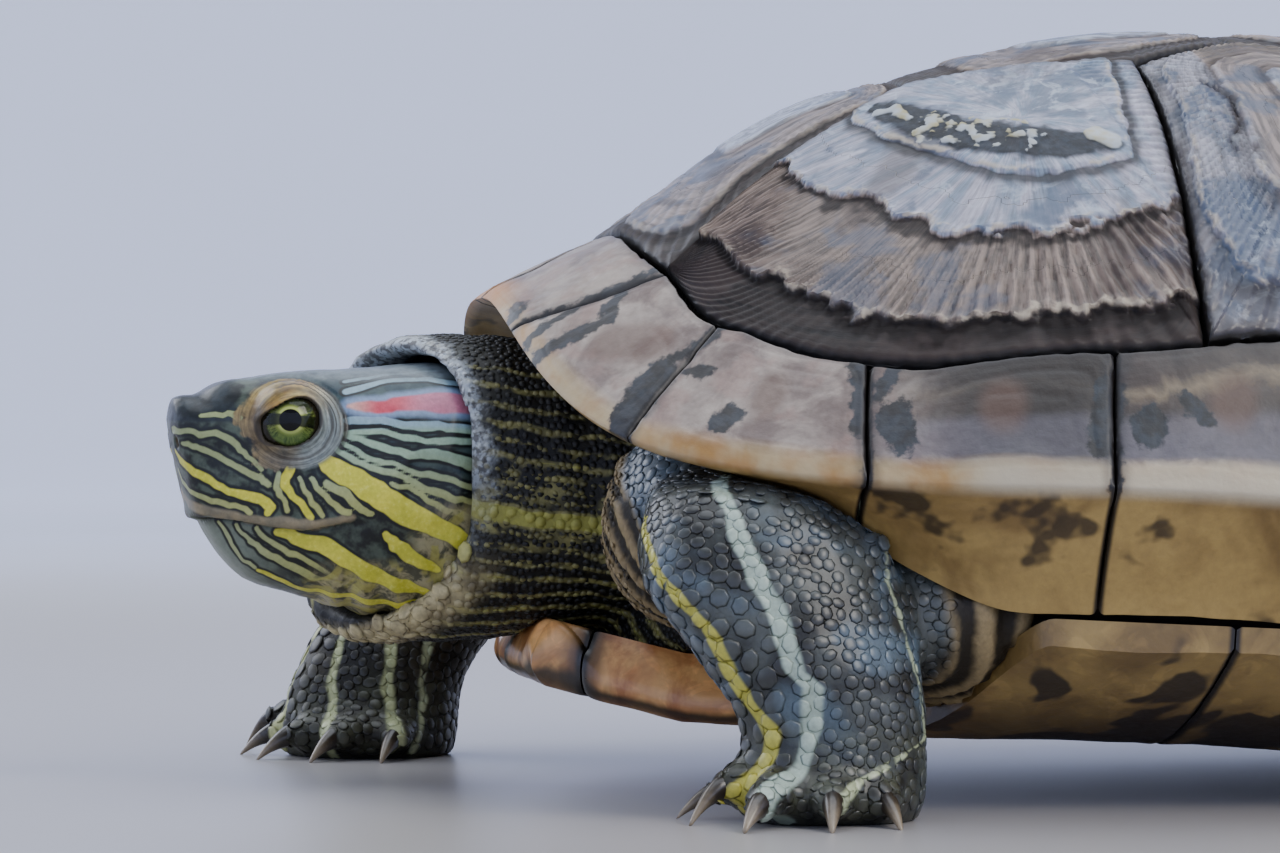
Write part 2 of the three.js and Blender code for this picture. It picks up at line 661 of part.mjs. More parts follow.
const finish = (color, roughness) => new THREE.MeshStandardMaterial({ color, roughness, metalness: 0 });
const CARAPACE = finish(0x7b6f6b, 0.5);
const MARGINAL = finish(0xb3a196, 0.5);
const PLASTRON = finish(0xb58a45, 0.5);
const SKIN = finish(0x3f4438, 0.6);
const BONE = finish(0x4a4038, 0.8);
const EYE = finish(0x8aa04a, 0.1);

const turtle = new THREE.Group();

function addNode(name, solid, material) {
  const mesh = wholePiece(solid).getMesh();
  const geometry = new THREE.BufferGeometry();
  geometry.setAttribute('position', new THREE.BufferAttribute(new Float32Array(mesh.vertProperties), 3));
  geometry.setIndex(new THREE.BufferAttribute(new Uint32Array(mesh.triVerts), 1));
  const part = new THREE.Mesh(geometry, material);
  part.name = name;
  turtle.add(part);
}

const SIDES = { left: 1, right: -1 };

addNode('trunk', inside.intersect(slab(TRUNK_FRONT, TRUNK_REAR)), BONE);
addNode('nuchal', nuchal(), MARGINAL);
for (let i = 0; i < 5; i++) {
  addNode(`vertebral_${i + 1}`, vertebral(i), CARAPACE);
}
PLASTRON_NAMES.forEach((plates, i) => addNode(plates, plastronPlate(i), PLASTRON));
for (const [word, side] of Object.entries(SIDES)) {
  for (let i = 0; i < 4; i++) {
    addNode(`costal_${word}_${i + 1}`, costal(i, side), CARAPACE);
  }
  for (let i = 0; i < 12; i++) {
    addNode(`marginal_${word}_${i + 1}`, marginal(i, side), MARGINAL);
  }
  addNode(`eye_${word}`, eyeBall(side, EYE_RADIUS, 10, 6), EYE);
}
addNode('head', head(), SKIN);
addNode('jaw', jaw(), SKIN);
addNode('neck', neck(), SKIN);
addNode('leg_front_left', legFrontLeft(), SKIN);
addNode('leg_front_right', legFrontRight(), SKIN);
addNode('leg_hind_left', hindLeg(1, 88, 2, -0.45), SKIN);
addNode('leg_hind_right', hindLeg(-1, 78, 4, 0.35), SKIN);
addNode('tail', tail(), SKIN);

// The origin lies on the floor, under the middle of the whole animal.
const extent = new THREE.Box3().setFromObject(turtle);
const centre = extent.getCenter(new THREE.Vector3());
turtle.position.set(-centre.x, -centre.y, -extent.min.z);
turtle.updateMatrixWorld(true);

export default turtle;
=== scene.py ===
import math
from contextlib import contextmanager
from functools import partial

import bmesh
import bpy
import numpy as np
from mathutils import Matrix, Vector


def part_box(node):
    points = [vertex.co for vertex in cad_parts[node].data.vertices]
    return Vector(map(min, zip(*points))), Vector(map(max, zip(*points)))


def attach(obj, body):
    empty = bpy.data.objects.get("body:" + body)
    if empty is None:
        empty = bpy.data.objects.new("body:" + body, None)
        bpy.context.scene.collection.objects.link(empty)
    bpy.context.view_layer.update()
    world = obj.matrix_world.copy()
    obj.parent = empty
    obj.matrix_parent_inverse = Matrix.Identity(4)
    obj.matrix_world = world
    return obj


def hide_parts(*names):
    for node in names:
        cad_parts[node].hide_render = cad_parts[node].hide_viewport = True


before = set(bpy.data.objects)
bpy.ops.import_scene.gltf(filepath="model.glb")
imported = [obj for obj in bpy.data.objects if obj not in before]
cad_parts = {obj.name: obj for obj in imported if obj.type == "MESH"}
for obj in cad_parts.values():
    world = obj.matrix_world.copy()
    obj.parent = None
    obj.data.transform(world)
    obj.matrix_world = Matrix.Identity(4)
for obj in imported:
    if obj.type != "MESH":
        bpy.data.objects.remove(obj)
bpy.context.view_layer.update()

# Red-eared slider turtle, adult, standing, life size. The animal's left side is +X, its head looks along -Y.
# Forms are worked out in millimetres. The shell has a frame of its own, which is pitched nose up and lifted
# off the floor, and everything moves into the frame's metres as its mesh is made.

# ---- driving dimensions, in millimetres

HALF_LENGTH, HALF_WIDTH, REAR_FLARE = 115, 86, 3.5
FRONT_BLUNTNESS, REAR_BLUNTNESS = 2.9, 2.35  # superellipse powers of the shell's outline
DOME_HEIGHT, DOME_POWER = 61, 2.2
RIM_LEVEL, ARCH_RISE, ARCH_SPREAD, ARCH_POWER = -4.6, 22.2, 0.515, 2.7
# How much the rim rises over a span of the turn from the neck, at the side and on to the tail.
SIDE_RISE, SIDE_SPAN, TAIL_RISE, TAIL_SPAN = 1.7, (0.9, 1.3), 2.3, (1.3, 2.8)
# The saddle over the neck: its depth, and its centre and half spread as share of the outline and turn.
SADDLE_DEPTH, SADDLE_CENTRE, SADDLE_SPREAD = 4.3, (0.85, 0), (0.125, 0.42)
SEAM_RING = ((0, 0.855), (0.45, 0.857), (0.65, 0.88), (0.88, 0.897),
             (1.15, 0.873), (1.4, 0.847), (2.5, 0.86), (3.2, 0.86))
SCUTE, RIM_NOSE = 2.3, 1.7
NECK_DROP, FREE_DROP, BRIDGE_DROP = 5, 2.8, 17
PLASTRON_LEVEL, PLASTRON_THICK, LIP_THICK = -36.8, 3.6, 9
PLASTRON_FRONT, PLASTRON_REAR = -108, 98
FRONT_LOBE, REAR_LOBE, LOBE_TAPER = 45.5, 46.5, 26.5
PLASTRON_TILT, TIP_RISE, HEEL_RISE, BRIDGE_RISE, BRIDGE_FOOT = 0.021, 0.2, 0.05, 13.5, 42
TRUNK_FRONT, TRUNK_REAR = -70, 72
GAP = 0.4
SHELL_PITCH, SHELL_LIFT = np.radians(4), 42.5
ZIGZAG = np.array(((33, -94.7), (17.5, -60), (26, -31), (18, -16), (26, 14),
                   (17, 29), (24, 57), (14, 70), (33, 92.7)))
COSTAL_ENDS = (0.475, 1.261, 1.729, 2.177, 2.69)
VERTEBRAL_ROWS = ((-94.7, -77, -60), (-60, -31, -16), (-16, 14, 29), (29, 57, 70), (70, 81, 92.7))
RIM_SEAMS = (0.0434, 0.3155, 0.6451, 0.9458, 1.193, 1.415, 1.632, 1.857, 2.068, 2.315, 2.544, 2.802, np.pi)
RING_SEAMS = (0.045, 0.468, 0.64, 0.8817, 1.155, 1.405, 1.632, 1.862, 2.078, 2.32, 2.55, 2.81, np.pi)
PLASTRON_NAMES = ("gulars", "humerals", "pectorals", "abdominals", "femorals", "anals")
MIDLINE_SEAMS = (PLASTRON_FRONT, -88, -66, -28, 32, 62, PLASTRON_REAR - 4)
EDGE_SEAMS = (PLASTRON_FRONT + 1, -101, -60, -25, 40, 74, PLASTRON_REAR)
SEAM = 0.12  # half the clear line between two plates
FINE = 0.0014  # the same as a share of the outline, or in radians

# ---- small helpers


def mix(a, b, t):
    return a + (b - a) * t


def smooth(value, low, high):
    t = np.clip((value - low) / (high - low), 0, 1)
    return t * t * (3 - 2 * t)


def power(value, exponent):
    return np.sign(value) * np.abs(value) ** exponent


def bump(value, centre, width):
    """1 at the centre, falling away softly on both sides."""
    return np.exp(-(((value - centre) / width) ** 2))


def mound(a, b, centre, spread):
    """The same over two measures."""
    return np.exp(-(((a - centre[0]) / spread[0]) ** 2) - ((b - centre[1]) / spread[1]) ** 2)


def noise(points, size, seed):
    """Smooth random lumps from -1 to 1 over space; size is their spacing."""
    place = np.asarray(points, float) / size + 512.37
    cell = np.floor(place).astype(np.int64)
    part = place - cell
    part = part * part * (3 - 2 * part)
    total = 0
    for corner in np.ndindex(2, 2, 2):
        spot = cell + corner
        code = spot[..., 0] * 73856093 ^ spot[..., 1] * 19349663 ^ spot[..., 2] * 83492791 ^ seed * 50331653
        code = (code & 0xFFFFFFFF) * 2654435761 & 0xFFFFFFFF
        code = (code ^ code >> 15) * 2246822519 & 0xFFFFFFFF
        value = (code >> 16 & 0xFFFF) / 32767.5 - 1
        weight = 1
        for axis in range(3):
            weight = weight * (part[..., axis] if corner[axis] else 1 - part[..., axis])
        total = total + value * weight
    return total


def rough(points, size, seed, octaves=3):
    """Lumps with finer lumps on them."""
    return sum(noise(points, size / 2.1**n, seed + n) * 0.55**n for n in range(octaves))


def join(*parts):
    return np.stack(np.broadcast_arrays(*parts), axis=-1)


def unit(vectors):
    return vectors / np.linalg.norm(vectors, axis=-1, keepdims=True)


def facing(points):
    """Unit normals of a grid of points."""
    across = np.gradient(points, axis=0)
    along = np.gradient(points, axis=1)
    normal = np.cross(across, along)
    return normal / np.maximum(np.linalg.norm(normal, axis=-1, keepdims=True), 1e-9)


def curve(stops, s):
    """A smooth curve through rows of numbers, read at s from 0 to 1."""
    rows = np.asarray(stops, float)
    last = len(rows) - 1
    place = np.clip(s, 0, 1) * last
    start = np.minimum(place.astype(int), last - 1)
    t = (place - start)[..., None]
    first, final = (start == 0)[..., None], (start == last - 1)[..., None]
    before = np.where(first, 2 * rows[0] - rows[1], rows[np.maximum(start - 1, 0)])
    after = np.where(final, 2 * rows[-1] - rows[-2], rows[np.minimum(start + 2, last)])
    here, there = rows[start], rows[start + 1]
    # centripetal knots, so that uneven stations don't overshoot
    gaps = [np.maximum(np.linalg.norm((b - a)[..., :3], axis=-1, keepdims=True) ** 0.5, 1e-6)
            for a, b in ((before, here), (here, there), (there, after))]
    run = (there - here) / gaps[1]
    slope0 = ((here - before) / gaps[0] - (there - before) / (gaps[0] + gaps[1]) + run) * gaps[1]
    slope1 = (run - (after - here) / (gaps[1] + gaps[2]) + (after - there) / gaps[2]) * gaps[1]
    return ((2 * t**3 - 3 * t**2 + 1) * here + (t**3 - 2 * t**2 + t) * slope0
            + (3 * t**2 - 2 * t**3) * there + (t**3 - t**2) * slope1)


# ---- the shell's form


def in_world(points):
    """From the shell's own frame to the frame of the floor."""
    x, y, z = points[..., 0], points[..., 1], points[..., 2]
    c, s = np.cos(SHELL_PITCH), np.sin(SHELL_PITCH)
    return join(x, y * c + z * s, z * c - y * s + SHELL_LIFT)


def in_shell(points):
    x, y, z = points[..., 0], points[..., 1], points[..., 2] - SHELL_LIFT
    c, s = np.cos(SHELL_PITCH), np.sin(SHELL_PITCH)
    return join(x, y * c - z * s, y * s + z * c)


def half_width(y):
    return HALF_WIDTH + REAR_FLARE * y / HALF_LENGTH


def bluntness(y):
    return np.where(y < 0, FRONT_BLUNTNESS, REAR_BLUNTNESS)


def on_ring(share, angle):
    """A place on a ring of the outline: angle 0 is over the neck, +PI/2 the left side, PI the tail."""
    side, back = np.sin(angle), -np.cos(angle)
    m = bluntness(back)
    reach = share / (np.abs(side) ** m + np.abs(back) ** m) ** (1 / m)
    y = reach * HALF_LENGTH * back
    return reach * half_width(y) * side, y


def ring_of(x, y):
    across, along = np.abs(x) / half_width(y), np.abs(y) / HALF_LENGTH
    m = bluntness(y)
    return (across**m + along**m) ** (1 / m), np.arctan2(across, -y / HALF_LENGTH)


def rim_height(angle):
    around = np.abs(angle)
    arch = ARCH_RISE * np.exp(-((around / ARCH_SPREAD) ** ARCH_POWER))
    return RIM_LEVEL + arch + SIDE_RISE * smooth(around, *SIDE_SPAN) + TAIL_RISE * smooth(around, *TAIL_SPAN)


def dome_height(x, y):
    share, angle = ring_of(x, y)
    rim = rim_height(angle)
    saddle = SADDLE_DEPTH * mound(share, angle, SADDLE_CENTRE, SADDLE_SPREAD)
    return rim + (DOME_HEIGHT - rim) * (1 - share**DOME_POWER) - saddle


def dome_normal(x, y):
    slope_x = dome_height(x + 0.5, y) - dome_height(x - 0.5, y)
    slope_y = dome_height(x, y + 0.5) - dome_height(x, y - 0.5)
    return unit(join(-slope_x, -slope_y, 1.0))


def under_dome(x, y, depth):
    """A point this deep under the carapace's outer face, in the shell's frame."""
    return join(x, y, dome_height(x, y)) - dome_normal(x, y) * np.asarray(depth)[..., None]


def along_bridge(y, front, rear):
    """1 along the bridge, and 0 ahead of its front end and behind its rear end."""
    return smooth(y, *front) * (1 - smooth(y, *rear))


def marginal_drop(x, y):
    """How far a marginal's underside lies below the rim's height at its inner edge."""
    bridge = along_bridge(y, (-90, -50), (42, 66))
    over_neck = np.where(y < 0, 1 - smooth(np.abs(x), 20, 40), 0)
    return mix(mix(FREE_DROP, NECK_DROP, over_neck), BRIDGE_DROP, bridge)


def seam_ring(angle):
    """The seam between the marginals and the scutes inside them, as a share of the outline."""
    around = np.abs(angle)
    stops = np.array(SEAM_RING)
    nxt = np.clip(np.searchsorted(stops[:, 0], around, side="right"), 1, len(stops) - 1)
    low, high = stops[nxt - 1], stops[nxt]
    return mix(low[..., 1], high[..., 1], smooth(around, low[..., 0], high[..., 0]))


def inner_wall(y):
    """How far out the plastron's bridge can reach before it meets the marginals."""
    m = bluntness(y)
    along = np.abs(y) / HALF_LENGTH
    share = seam_ring(np.arctan2(0.85, -y / HALF_LENGTH))
    return half_width(y) * np.maximum(0, share**m - along**m) ** (1 / m)


def plastron_edge(y):
    front = FRONT_LOBE - LOBE_TAPER * np.clip((-58 - y) / 50, 0, 1) ** 2
    rear = REAR_LOBE - (LOBE_TAPER + 2) * np.clip((y - 50) / 48, 0, 1) ** 2.2
    bridge = along_bridge(y, (-64, -48), (38, 52))
    return mix(np.where(y < 0, front, rear), inner_wall(y) - GAP, bridge)


def plastron_face(x, y):
    reach = np.clip((np.abs(x) - BRIDGE_FOOT) / np.maximum(20, inner_wall(y) - BRIDGE_FOOT), 0, 1.1)
    tip = np.maximum(0, -88 - y) * TIP_RISE
    heel = np.maximum(0, y - 55) * HEEL_RISE
    return PLASTRON_LEVEL + PLASTRON_TILT * y + BRIDGE_RISE * reach**1.7 + tip + heel


def lobe_at(y):
    """How much of its thick lip a plastron lobe has here."""
    return np.where(y < 0, 1 - smooth(y, -72, -52), 0.4 * smooth(y, 44, 60))


def plastron_thickness(x, y):
    out = np.abs(x) / plastron_edge(y)
    lip = smooth(out, 0.45, 0.86) - 0.8 * smooth(out, 0.86, 1)
    tip = np.where(y < 0, smooth(-y, 96, 104) - 0.75 * smooth(-y, 104, 108), 0)
    return PLASTRON_THICK + (LIP_THICK - PLASTRON_THICK) * lobe_at(y) * np.clip(np.maximum(lip, tip), 0, 1)


def zigzag_at(y):
    return np.interp(y, ZIGZAG[:, 1], ZIGZAG[:, 0])


def vertebral_plan(index, u, v):
    """The place in plan of u across and v along a vertebral plate, each from 0 to 1."""
    start, middle, end = VERTEBRAL_ROWS[index]
    out = 2 * u - 1
    front, rear = start + SEAM, end - SEAM
    if index in (0, 4):
        last = start if index == 0 else end
        m = bluntness(last)
        across = np.abs(out * zigzag_at(last)) / half_width(last)
        ring = seam_ring(0.0 if index == 0 else np.pi) - FINE
        edge = np.sign(last) * HALF_LENGTH * (ring**m - across**m) ** (1 / m)
        front = edge if index == 0 else front
        rear = edge if index == 4 else rear
    y = np.where(v < 0.5, mix(front, middle, 2 * v), mix(middle, rear, 2 * v - 1))
    return out * (zigzag_at(y) - SEAM), y


def costal_plan(index, u, v):
    """The same for a costal plate of the left side: u runs out from the vertebral, v to the rear."""
    inner = ZIGZAG[2 * index:2 * index + 3]
    v = np.asarray(v, float)
    x0 = np.interp(2 * v, (0, 1, 2), inner[:, 0]) + SEAM
    y0 = np.interp(2 * v, (0, 1, 2), inner[:, 1]) + SEAM * (1 - 2 * v)
    angle = mix(COSTAL_ENDS[index] + FINE, COSTAL_ENDS[index + 1] - FINE, v)
    x1, y1 = on_ring(seam_ring(angle) - FINE, angle)
    return mix(x0, x1, u), mix(y0, y1, u)


def marginal_plan(ring_angle, rim_angle, v):
    share = mix(seam_ring(ring_angle) + FINE, 1, v)
    return on_ring(share, mix(ring_angle, rim_angle, v))
# ---- making meshes

MM = 0.001
BODY = "root"
nuchal_low, nuchal_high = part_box("nuchal")
SHIFT = np.array(((nuchal_low.x + nuchal_high.x) / 2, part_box("trunk")[0].y - TRUNK_FRONT * MM, 0))


def in_part(points):
    """From millimetres over the floor to the frame's metres."""
    return points * MM + SHIFT


@contextmanager
def worked(mesh):
    """Opens a mesh to the bmesh operators, and writes it back when they are done."""
    bm = bmesh.new()
    bm.from_mesh(mesh)
    yield bm
    bm.to_mesh(mesh)
    bm.free()


def vectors(items, key):
    """One vector for each item of a mesh, as rows of an array."""
    flat = np.empty(len(items) * 3, np.float32)
    items.foreach_get(key, flat)
    return flat.reshape(-1, 3).astype(float)


def points_of(mesh):
    return (vectors(mesh.vertices, "co") - SHIFT) / MM


def normals_of(mesh):
    return vectors(mesh.vertex_normals, "vector")


def move_points(mesh, points):
    mesh.vertices.foreach_set("co", in_part(points).astype(np.float32).ravel())


def spread(mesh, fields):
    """Stores one number a point under each name, for the finishes to read."""
    for name, values in fields.items():
        layer = mesh.attributes.new(name, "FLOAT", "POINT")
        layer.data.foreach_set("value", np.ascontiguousarray(values, np.float32).ravel())


def hang(name, mesh, material, replaced=()):
    """Gives a finished mesh its material, and hangs it on the body."""
    mesh.shade_smooth()
    mesh.materials.append(material)
    piece = bpy.data.objects.new(name, mesh)
    bpy.context.scene.collection.objects.link(piece)
    if replaced:
        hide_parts(*replaced)
    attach(piece, BODY)


def settle(name, mesh, material, replaced=(), merge=2e-6, sharp=50):
    """Closes a piece's seams and poles, turns its faces out and hangs it on the body."""
    with worked(mesh) as bm:
        bmesh.ops.remove_doubles(bm, verts=bm.verts, dist=merge)
        bmesh.ops.dissolve_degenerate(bm, edges=bm.edges, dist=1e-7)
        open_edges = [edge for edge in bm.edges if edge.is_boundary]
        if open_edges:
            bmesh.ops.holes_fill(bm, edges=open_edges, sides=0)
        bmesh.ops.recalc_face_normals(bm, faces=bm.faces)
    hang(name, mesh, material, replaced)
    if sharp:
        mesh.set_sharp_from_angle(angle=math.radians(sharp))


def grid_mesh(name, around, along, form):
    """A grid carried to form(a, b), which gives its points over the floor and the fields stored on them."""
    mesh = bpy.data.meshes.new(name)
    with worked(mesh) as bm:
        bmesh.ops.create_grid(bm, x_segments=around, y_segments=along, size=0.5)
    place = vectors(mesh.vertices, "co")
    i = np.rint((place[:, 0] + 0.5) * around).astype(int)
    j = np.rint((place[:, 1] + 0.5) * along).astype(int)
    a, b = np.meshgrid(np.linspace(0, 1, around + 1), np.linspace(0, 1, along + 1), indexing="ij")
    points, fields = form(a, b)
    move_points(mesh, points[i, j])
    spread(mesh, {key: values[i, j] for key, values in fields.items()})
    return mesh


# ---- writing finishes


def tone(code):
    """A paint's colour, written in six hexadecimal digits, as the shader takes it."""
    parts = [(code >> shift & 255) / 255 for shift in (16, 8, 0)]
    return *(p / 12.92 if p <= 0.04045 else ((p + 0.055) / 1.055) ** 2.4 for p in parts), 1


class Wire:
    """A socket of a finish that adds Math nodes when it is used in an expression."""

    def __init__(self, tree, socket=None):
        self.tree, self.socket = tree, socket

    def node(self, kind, settings=None, sockets=None, output=0):
        """Adds a node of this type with its settings, then the values or links of its sockets."""
        made = self.tree.nodes.new("ShaderNode" + kind)
        for key, value in (settings or {}).items():
            if key == "stops":
                ramp = made.color_ramp.elements
                while len(ramp) < len(value):
                    ramp.new(0.5)
                for stop, (place, code) in zip(ramp, value):
                    stop.position, stop.color = place, tone(code)
            else:
                setattr(made, key, value)
        for key, value in (sockets or {}).items():
            if isinstance(value, Wire):
                self.tree.links.new(value.socket, made.inputs[key])
            else:
                coloured = made.inputs[key].type == "RGBA"
                made.inputs[key].default_value = tone(value) if coloured else value
        return Wire(self.tree, made.outputs[output] if len(made.outputs) else None)

    def maths(self, operation, *values):
        return self.node("Math", {"operation": operation}, dict(enumerate(values)))

    def __add__(self, other):
        return self.maths("ADD", self, other)

    __radd__ = __add__

    def __sub__(self, other):
        return self.maths("SUBTRACT", self, other)

    def __rsub__(self, other):
        return self.maths("SUBTRACT", other, self)

    def __mul__(self, other):
        return self.maths("MULTIPLY", self, other)

    __rmul__ = __mul__

    def __truediv__(self, other):
        return self.maths("DIVIDE", self, other)

    def least(self, other):
        return self.maths("MINIMUM", self, other)

    def most(self, other):
        return self.maths("MAXIMUM", self, other)

    def cosine(self):
        return self.maths("COSINE", self)

    def step(self, low, high):
        """0 at low, 1 at high and smooth between, whichever of the two is larger."""
        turned = low > high
        sockets = {0: self, 1: min(low, high), 2: max(low, high), 3: float(turned), 4: float(not turned)}
        return self.node("MapRange", {"interpolation_type": "SMOOTHSTEP"}, sockets)

    def tint(self, under, over):
        """The colour under where this is 0 and over where it is 1."""
        return self.node("Mix", {"data_type": "RGBA"}, {0: self, 6: under, 7: over}, 2)

    def bright(self, factor):
        """A colour made lighter or darker."""
        return self.node("VectorMath", {"operation": "SCALE"}, {0: self, "Scale": factor})

    def field(self, name):
        return self.node("Attribute", {"attribute_type": "GEOMETRY", "attribute_name": name}, None, 2)

    def fields(self, names):
        return (self.field(name) for name in names.split())

    def place(self):
        return self.node("TexCoord", None, None, 3)

    def stretched(self, a, b, c=0.0):
        """A place in a pattern from separate numbers."""
        return self.node("CombineXYZ", None, {0: a, 1: b, 2: c})

    def grain(self, size, detail=3.0, where=None, rough=0.55, warp=0.0):
        """Cloudy noise around 0.5; size in metres, or in the pattern's own unit."""
        sockets = {"Vector": where or self.place(), "Scale": 1 / size, "Detail": detail,
                   "Roughness": rough, "Distortion": warp}
        return self.node("TexNoise", None, sockets)

    def relief(self, height, depth, strength):
        """Fine relief of this depth in metres."""
        return self.node("Bump", None, {"Height": height, "Distance": depth, "Strength": strength})


def finish(name, paint):
    """A material whose paint(wire) gives the values and links of the shader's sockets."""
    material = bpy.data.materials.new(name)
    material.use_nodes = True
    tree = material.node_tree
    tree.nodes.clear()
    start = Wire(tree)
    shader = start.node("BsdfPrincipled", None, paint(start))
    start.node("OutputMaterial", None, {"Surface": shader})
    return material


# ---- plates of the carapace


def spaced(count, crowd=0.55):
    """Rows from 0 to 1 that stand closer together at both ends."""
    t = np.linspace(0, 1, count + 1)
    return t - crowd * np.sin(2 * np.pi * t) / (2 * np.pi)


def lengths(points):
    """How long each line of a grid is, across and along it."""
    across = np.linalg.norm(np.diff(points, axis=0), axis=-1).sum(0)[None, :]
    along = np.linalg.norm(np.diff(points, axis=1), axis=-1).sum(1)[:, None]
    return across, along


def growth(u, v, centre, wide, long):
    """How far a place is from where the plate began to grow (0) to its border (1), and the millimetres
    round the border at which the ray through it ends."""
    gu = np.where(u < centre[0], (centre[0] - u) / centre[0], (u - centre[0]) / (1 - centre[0]))
    gv = np.where(v < centre[1], (centre[1] - v) / centre[1], (v - centre[1]) / (1 - centre[1]))
    g = (gu**6 + gv**6) ** (1 / 6)
    ray = np.where(gu > gv, (v - centre[1]) * long, (u - centre[0]) * wide) / np.maximum(g, 0.12)
    return g, ray + np.where(gu > gv, 0, 200)


def from_line(u, v, line, wide, long):
    """Millimetres from a line drawn on a plate in its own u and v."""
    best = np.full(u.shape, 1e9)
    a, b = u * wide, v * long
    for (u0, v0), (u1, v1) in zip(line, line[1:]):
        a0, b0, da, db = u0 * wide, v0 * long, (u1 - u0) * wide, (v1 - v0) * long
        t = np.clip(((a - a0) * da + (b - b0) * db) / (da * da + db * db + 1e-9), 0, 1)
        best = np.minimum(best, np.hypot(a - a0 - t * da, b - b0 - t * db))
    return best


def beyond(u, v, line, wide, long):
    """The same, positive on the side of smaller u; the line runs on along v."""
    reach = np.array(line)
    at = np.interp(v, reach[:, 1], reach[:, 0])
    return np.where(u < at, 1, -1) * from_line(u, v, line, wide, long)


def rounded(edge, depth, width):
    """How far a plate's face falls towards its border."""
    t = 1 - np.clip(edge / width, 0, 1)
    return depth * (1 - np.sqrt(1 - 0.98 * t * t))


def border(u, v, wide, long):
    """Millimetres in from a plate's nearest edge."""
    return np.minimum(np.minimum(u, 1 - u) * wide, np.minimum(v, 1 - v) * long)


def wave(turns):
    """A ripple once in every turn."""
    return np.sin(2 * np.pi * turns)


def nearest_edge(layers):
    """The signed distance that is nearest to zero."""
    stack = np.stack(layers)
    return np.take_along_axis(stack, np.abs(stack).argmin(0)[None], 0)[0]


# Where the worn layers of the first left costal end, as (u, v) of the plate.
WORN_EDGE = ((-0.3, 0.064), (0.234, 0.088), (0.506, 0.155), (0.682, 0.218), (0.757, 0.255), (0.766, 0.305),
             (0.782, 0.331), (0.845, 0.364), (0.858, 0.414), (0.908, 0.49), (0.937, 0.569), (0.941, 0.644),
             (0.937, 0.728), (0.937, 0.803), (0.921, 0.916), (0.9, 1.05))
FLAKE_EDGE = ((-0.2, 0.13), (0.0, 0.188), (0.063, 0.247), (0.226, 0.285), (0.381, 0.331), (0.452, 0.372),
              (0.515, 0.414), (0.53, 0.448), (0.607, 0.498), (0.64, 0.523), (0.665, 0.552), (0.699, 0.59),
              (0.72, 0.623), (0.715, 0.665), (0.72, 0.728), (0.735, 0.8), (0.7, 0.93), (0.6, 1.1))
FIRST_GROWTH = ((-0.2, 0.36), (0.117, 0.397), (0.351, 0.502), (0.448, 0.586), (0.552, 0.69), (0.577, 0.782),
                (0.561, 0.854), (0.53, 0.925), (0.3, 0.93), (0.0, 0.94))
# The band along its rear seam as (v, u), its dark crust with pale flakes, and a crack in the plate behind it.
REAR_BAND = ((0.80, 0.0), (0.841, 0.025), (0.9, 0.318), (0.937, 0.498), (0.962, 0.657), (0.971, 0.736),
             (0.983, 0.845), (0.996, 0.979))
CRUST = ((0.1, 0.435), (0.21, 0.485), (0.3, 0.55), (0.4, 0.645), (0.455, 0.725), (0.485, 0.81), (0.49, 0.9))
CRUST_FLAKE = ((0.15, 0.445), (0.19, 0.49), (0.27, 0.525))
CRUST_SPECKS = ((0.33, 0.57), (0.4, 0.66), (0.43, 0.74))
CRUST_SPOT = ((0.45, 0.87), (0.47, 0.895))
CRACK = ((0.27, 0.19), (0.301, 0.209), (0.368, 0.259), (0.481, 0.238), (0.523, 0.188), (0.561, 0.192))
COSTAL_CENTRES = ((0.36, 0.74), (0.34, 0.6), (0.36, 0.55), (0.4, 0.5))
VERTEBRAL_CENTRE = (0.5, 0.66)
UNMARKED = -9.0  # the depth inside a marking where there is none


def costal_layers(index, side, u, v, g, wide, long, spot):
    """Millimetres inside the edge of each worn layer of a costal plate, lowest layer first."""
    ragged = 0.8 * rough(spot, 3.2, 11) + 0.45 * noise(spot, 1.1, 12)
    if index == 0 and side > 0:
        return [beyond(u, v, line, wide, long) + share * ragged
                for line, share in ((WORN_EDGE, 1), (FLAKE_EDGE, 1.4), (FIRST_GROWTH, 0.5))]
    size = 0.5 * long
    drift = 0.14 * noise(spot, 22, 31 + index)
    return [(level + drift * k - g) * size + ragged * (0.6 if index == 1 and side > 0 else 0.3)
            for level, k in ((0.86, 0.7), (0.55, 1), (0.28, 0.5))]


def first_costal(u, v, wide, long, spot, height, fields):
    """What only the first left costal has: its crust and flakes, and the band along its rear seam."""
    def near(line):
        return from_line(u, v, line, wide.mean(), long.mean())

    crust = 2.6 - near(CRUST) - 1.8 * smooth(np.abs(v - 0.66), 0.1, 0.27) + 0.6 * rough(spot, 2.2, 41)
    specks = 1.1 * noise(spot, 1.1, 44) + 0.6 * noise(spot, 0.5, 45) - 0.1
    specks = specks - 1.6 * smooth(near(CRUST_SPECKS), 2, 4.6)
    flakes = np.maximum(0.8 - near(CRUST_FLAKE), 1.5 - near(CRUST_SPOT)) + 0.5 * noise(spot, 1.1, 46)
    fleck = np.maximum(flakes, specks)
    height += smooth(crust, -0.3, 0.5) * 0.15 + smooth(fleck, -0.1, 0.4) * smooth(crust, -2, 0) * 0.3
    fields["crust"], fields["fleck"] = crust, np.minimum(fleck, crust + 2.4)
    band = -beyond(v, u, REAR_BAND, long.mean(), wide.mean())
    cross = np.sin(2 * np.pi * u * wide / 1.7 + noise(spot, 3, 43))
    inside = smooth(band, 0, 0.6)
    height += inside * (-0.45 + 0.12 * cross) - 0.35 * bump(band, 0, 0.35)
    fields["rib"] = fields["rib"] * (1 - inside) + 0.8 * cross * inside
    height -= 0.7 * smooth(v, 0.94, 1) * rounded((1 - v) * long, 1, 2.4)


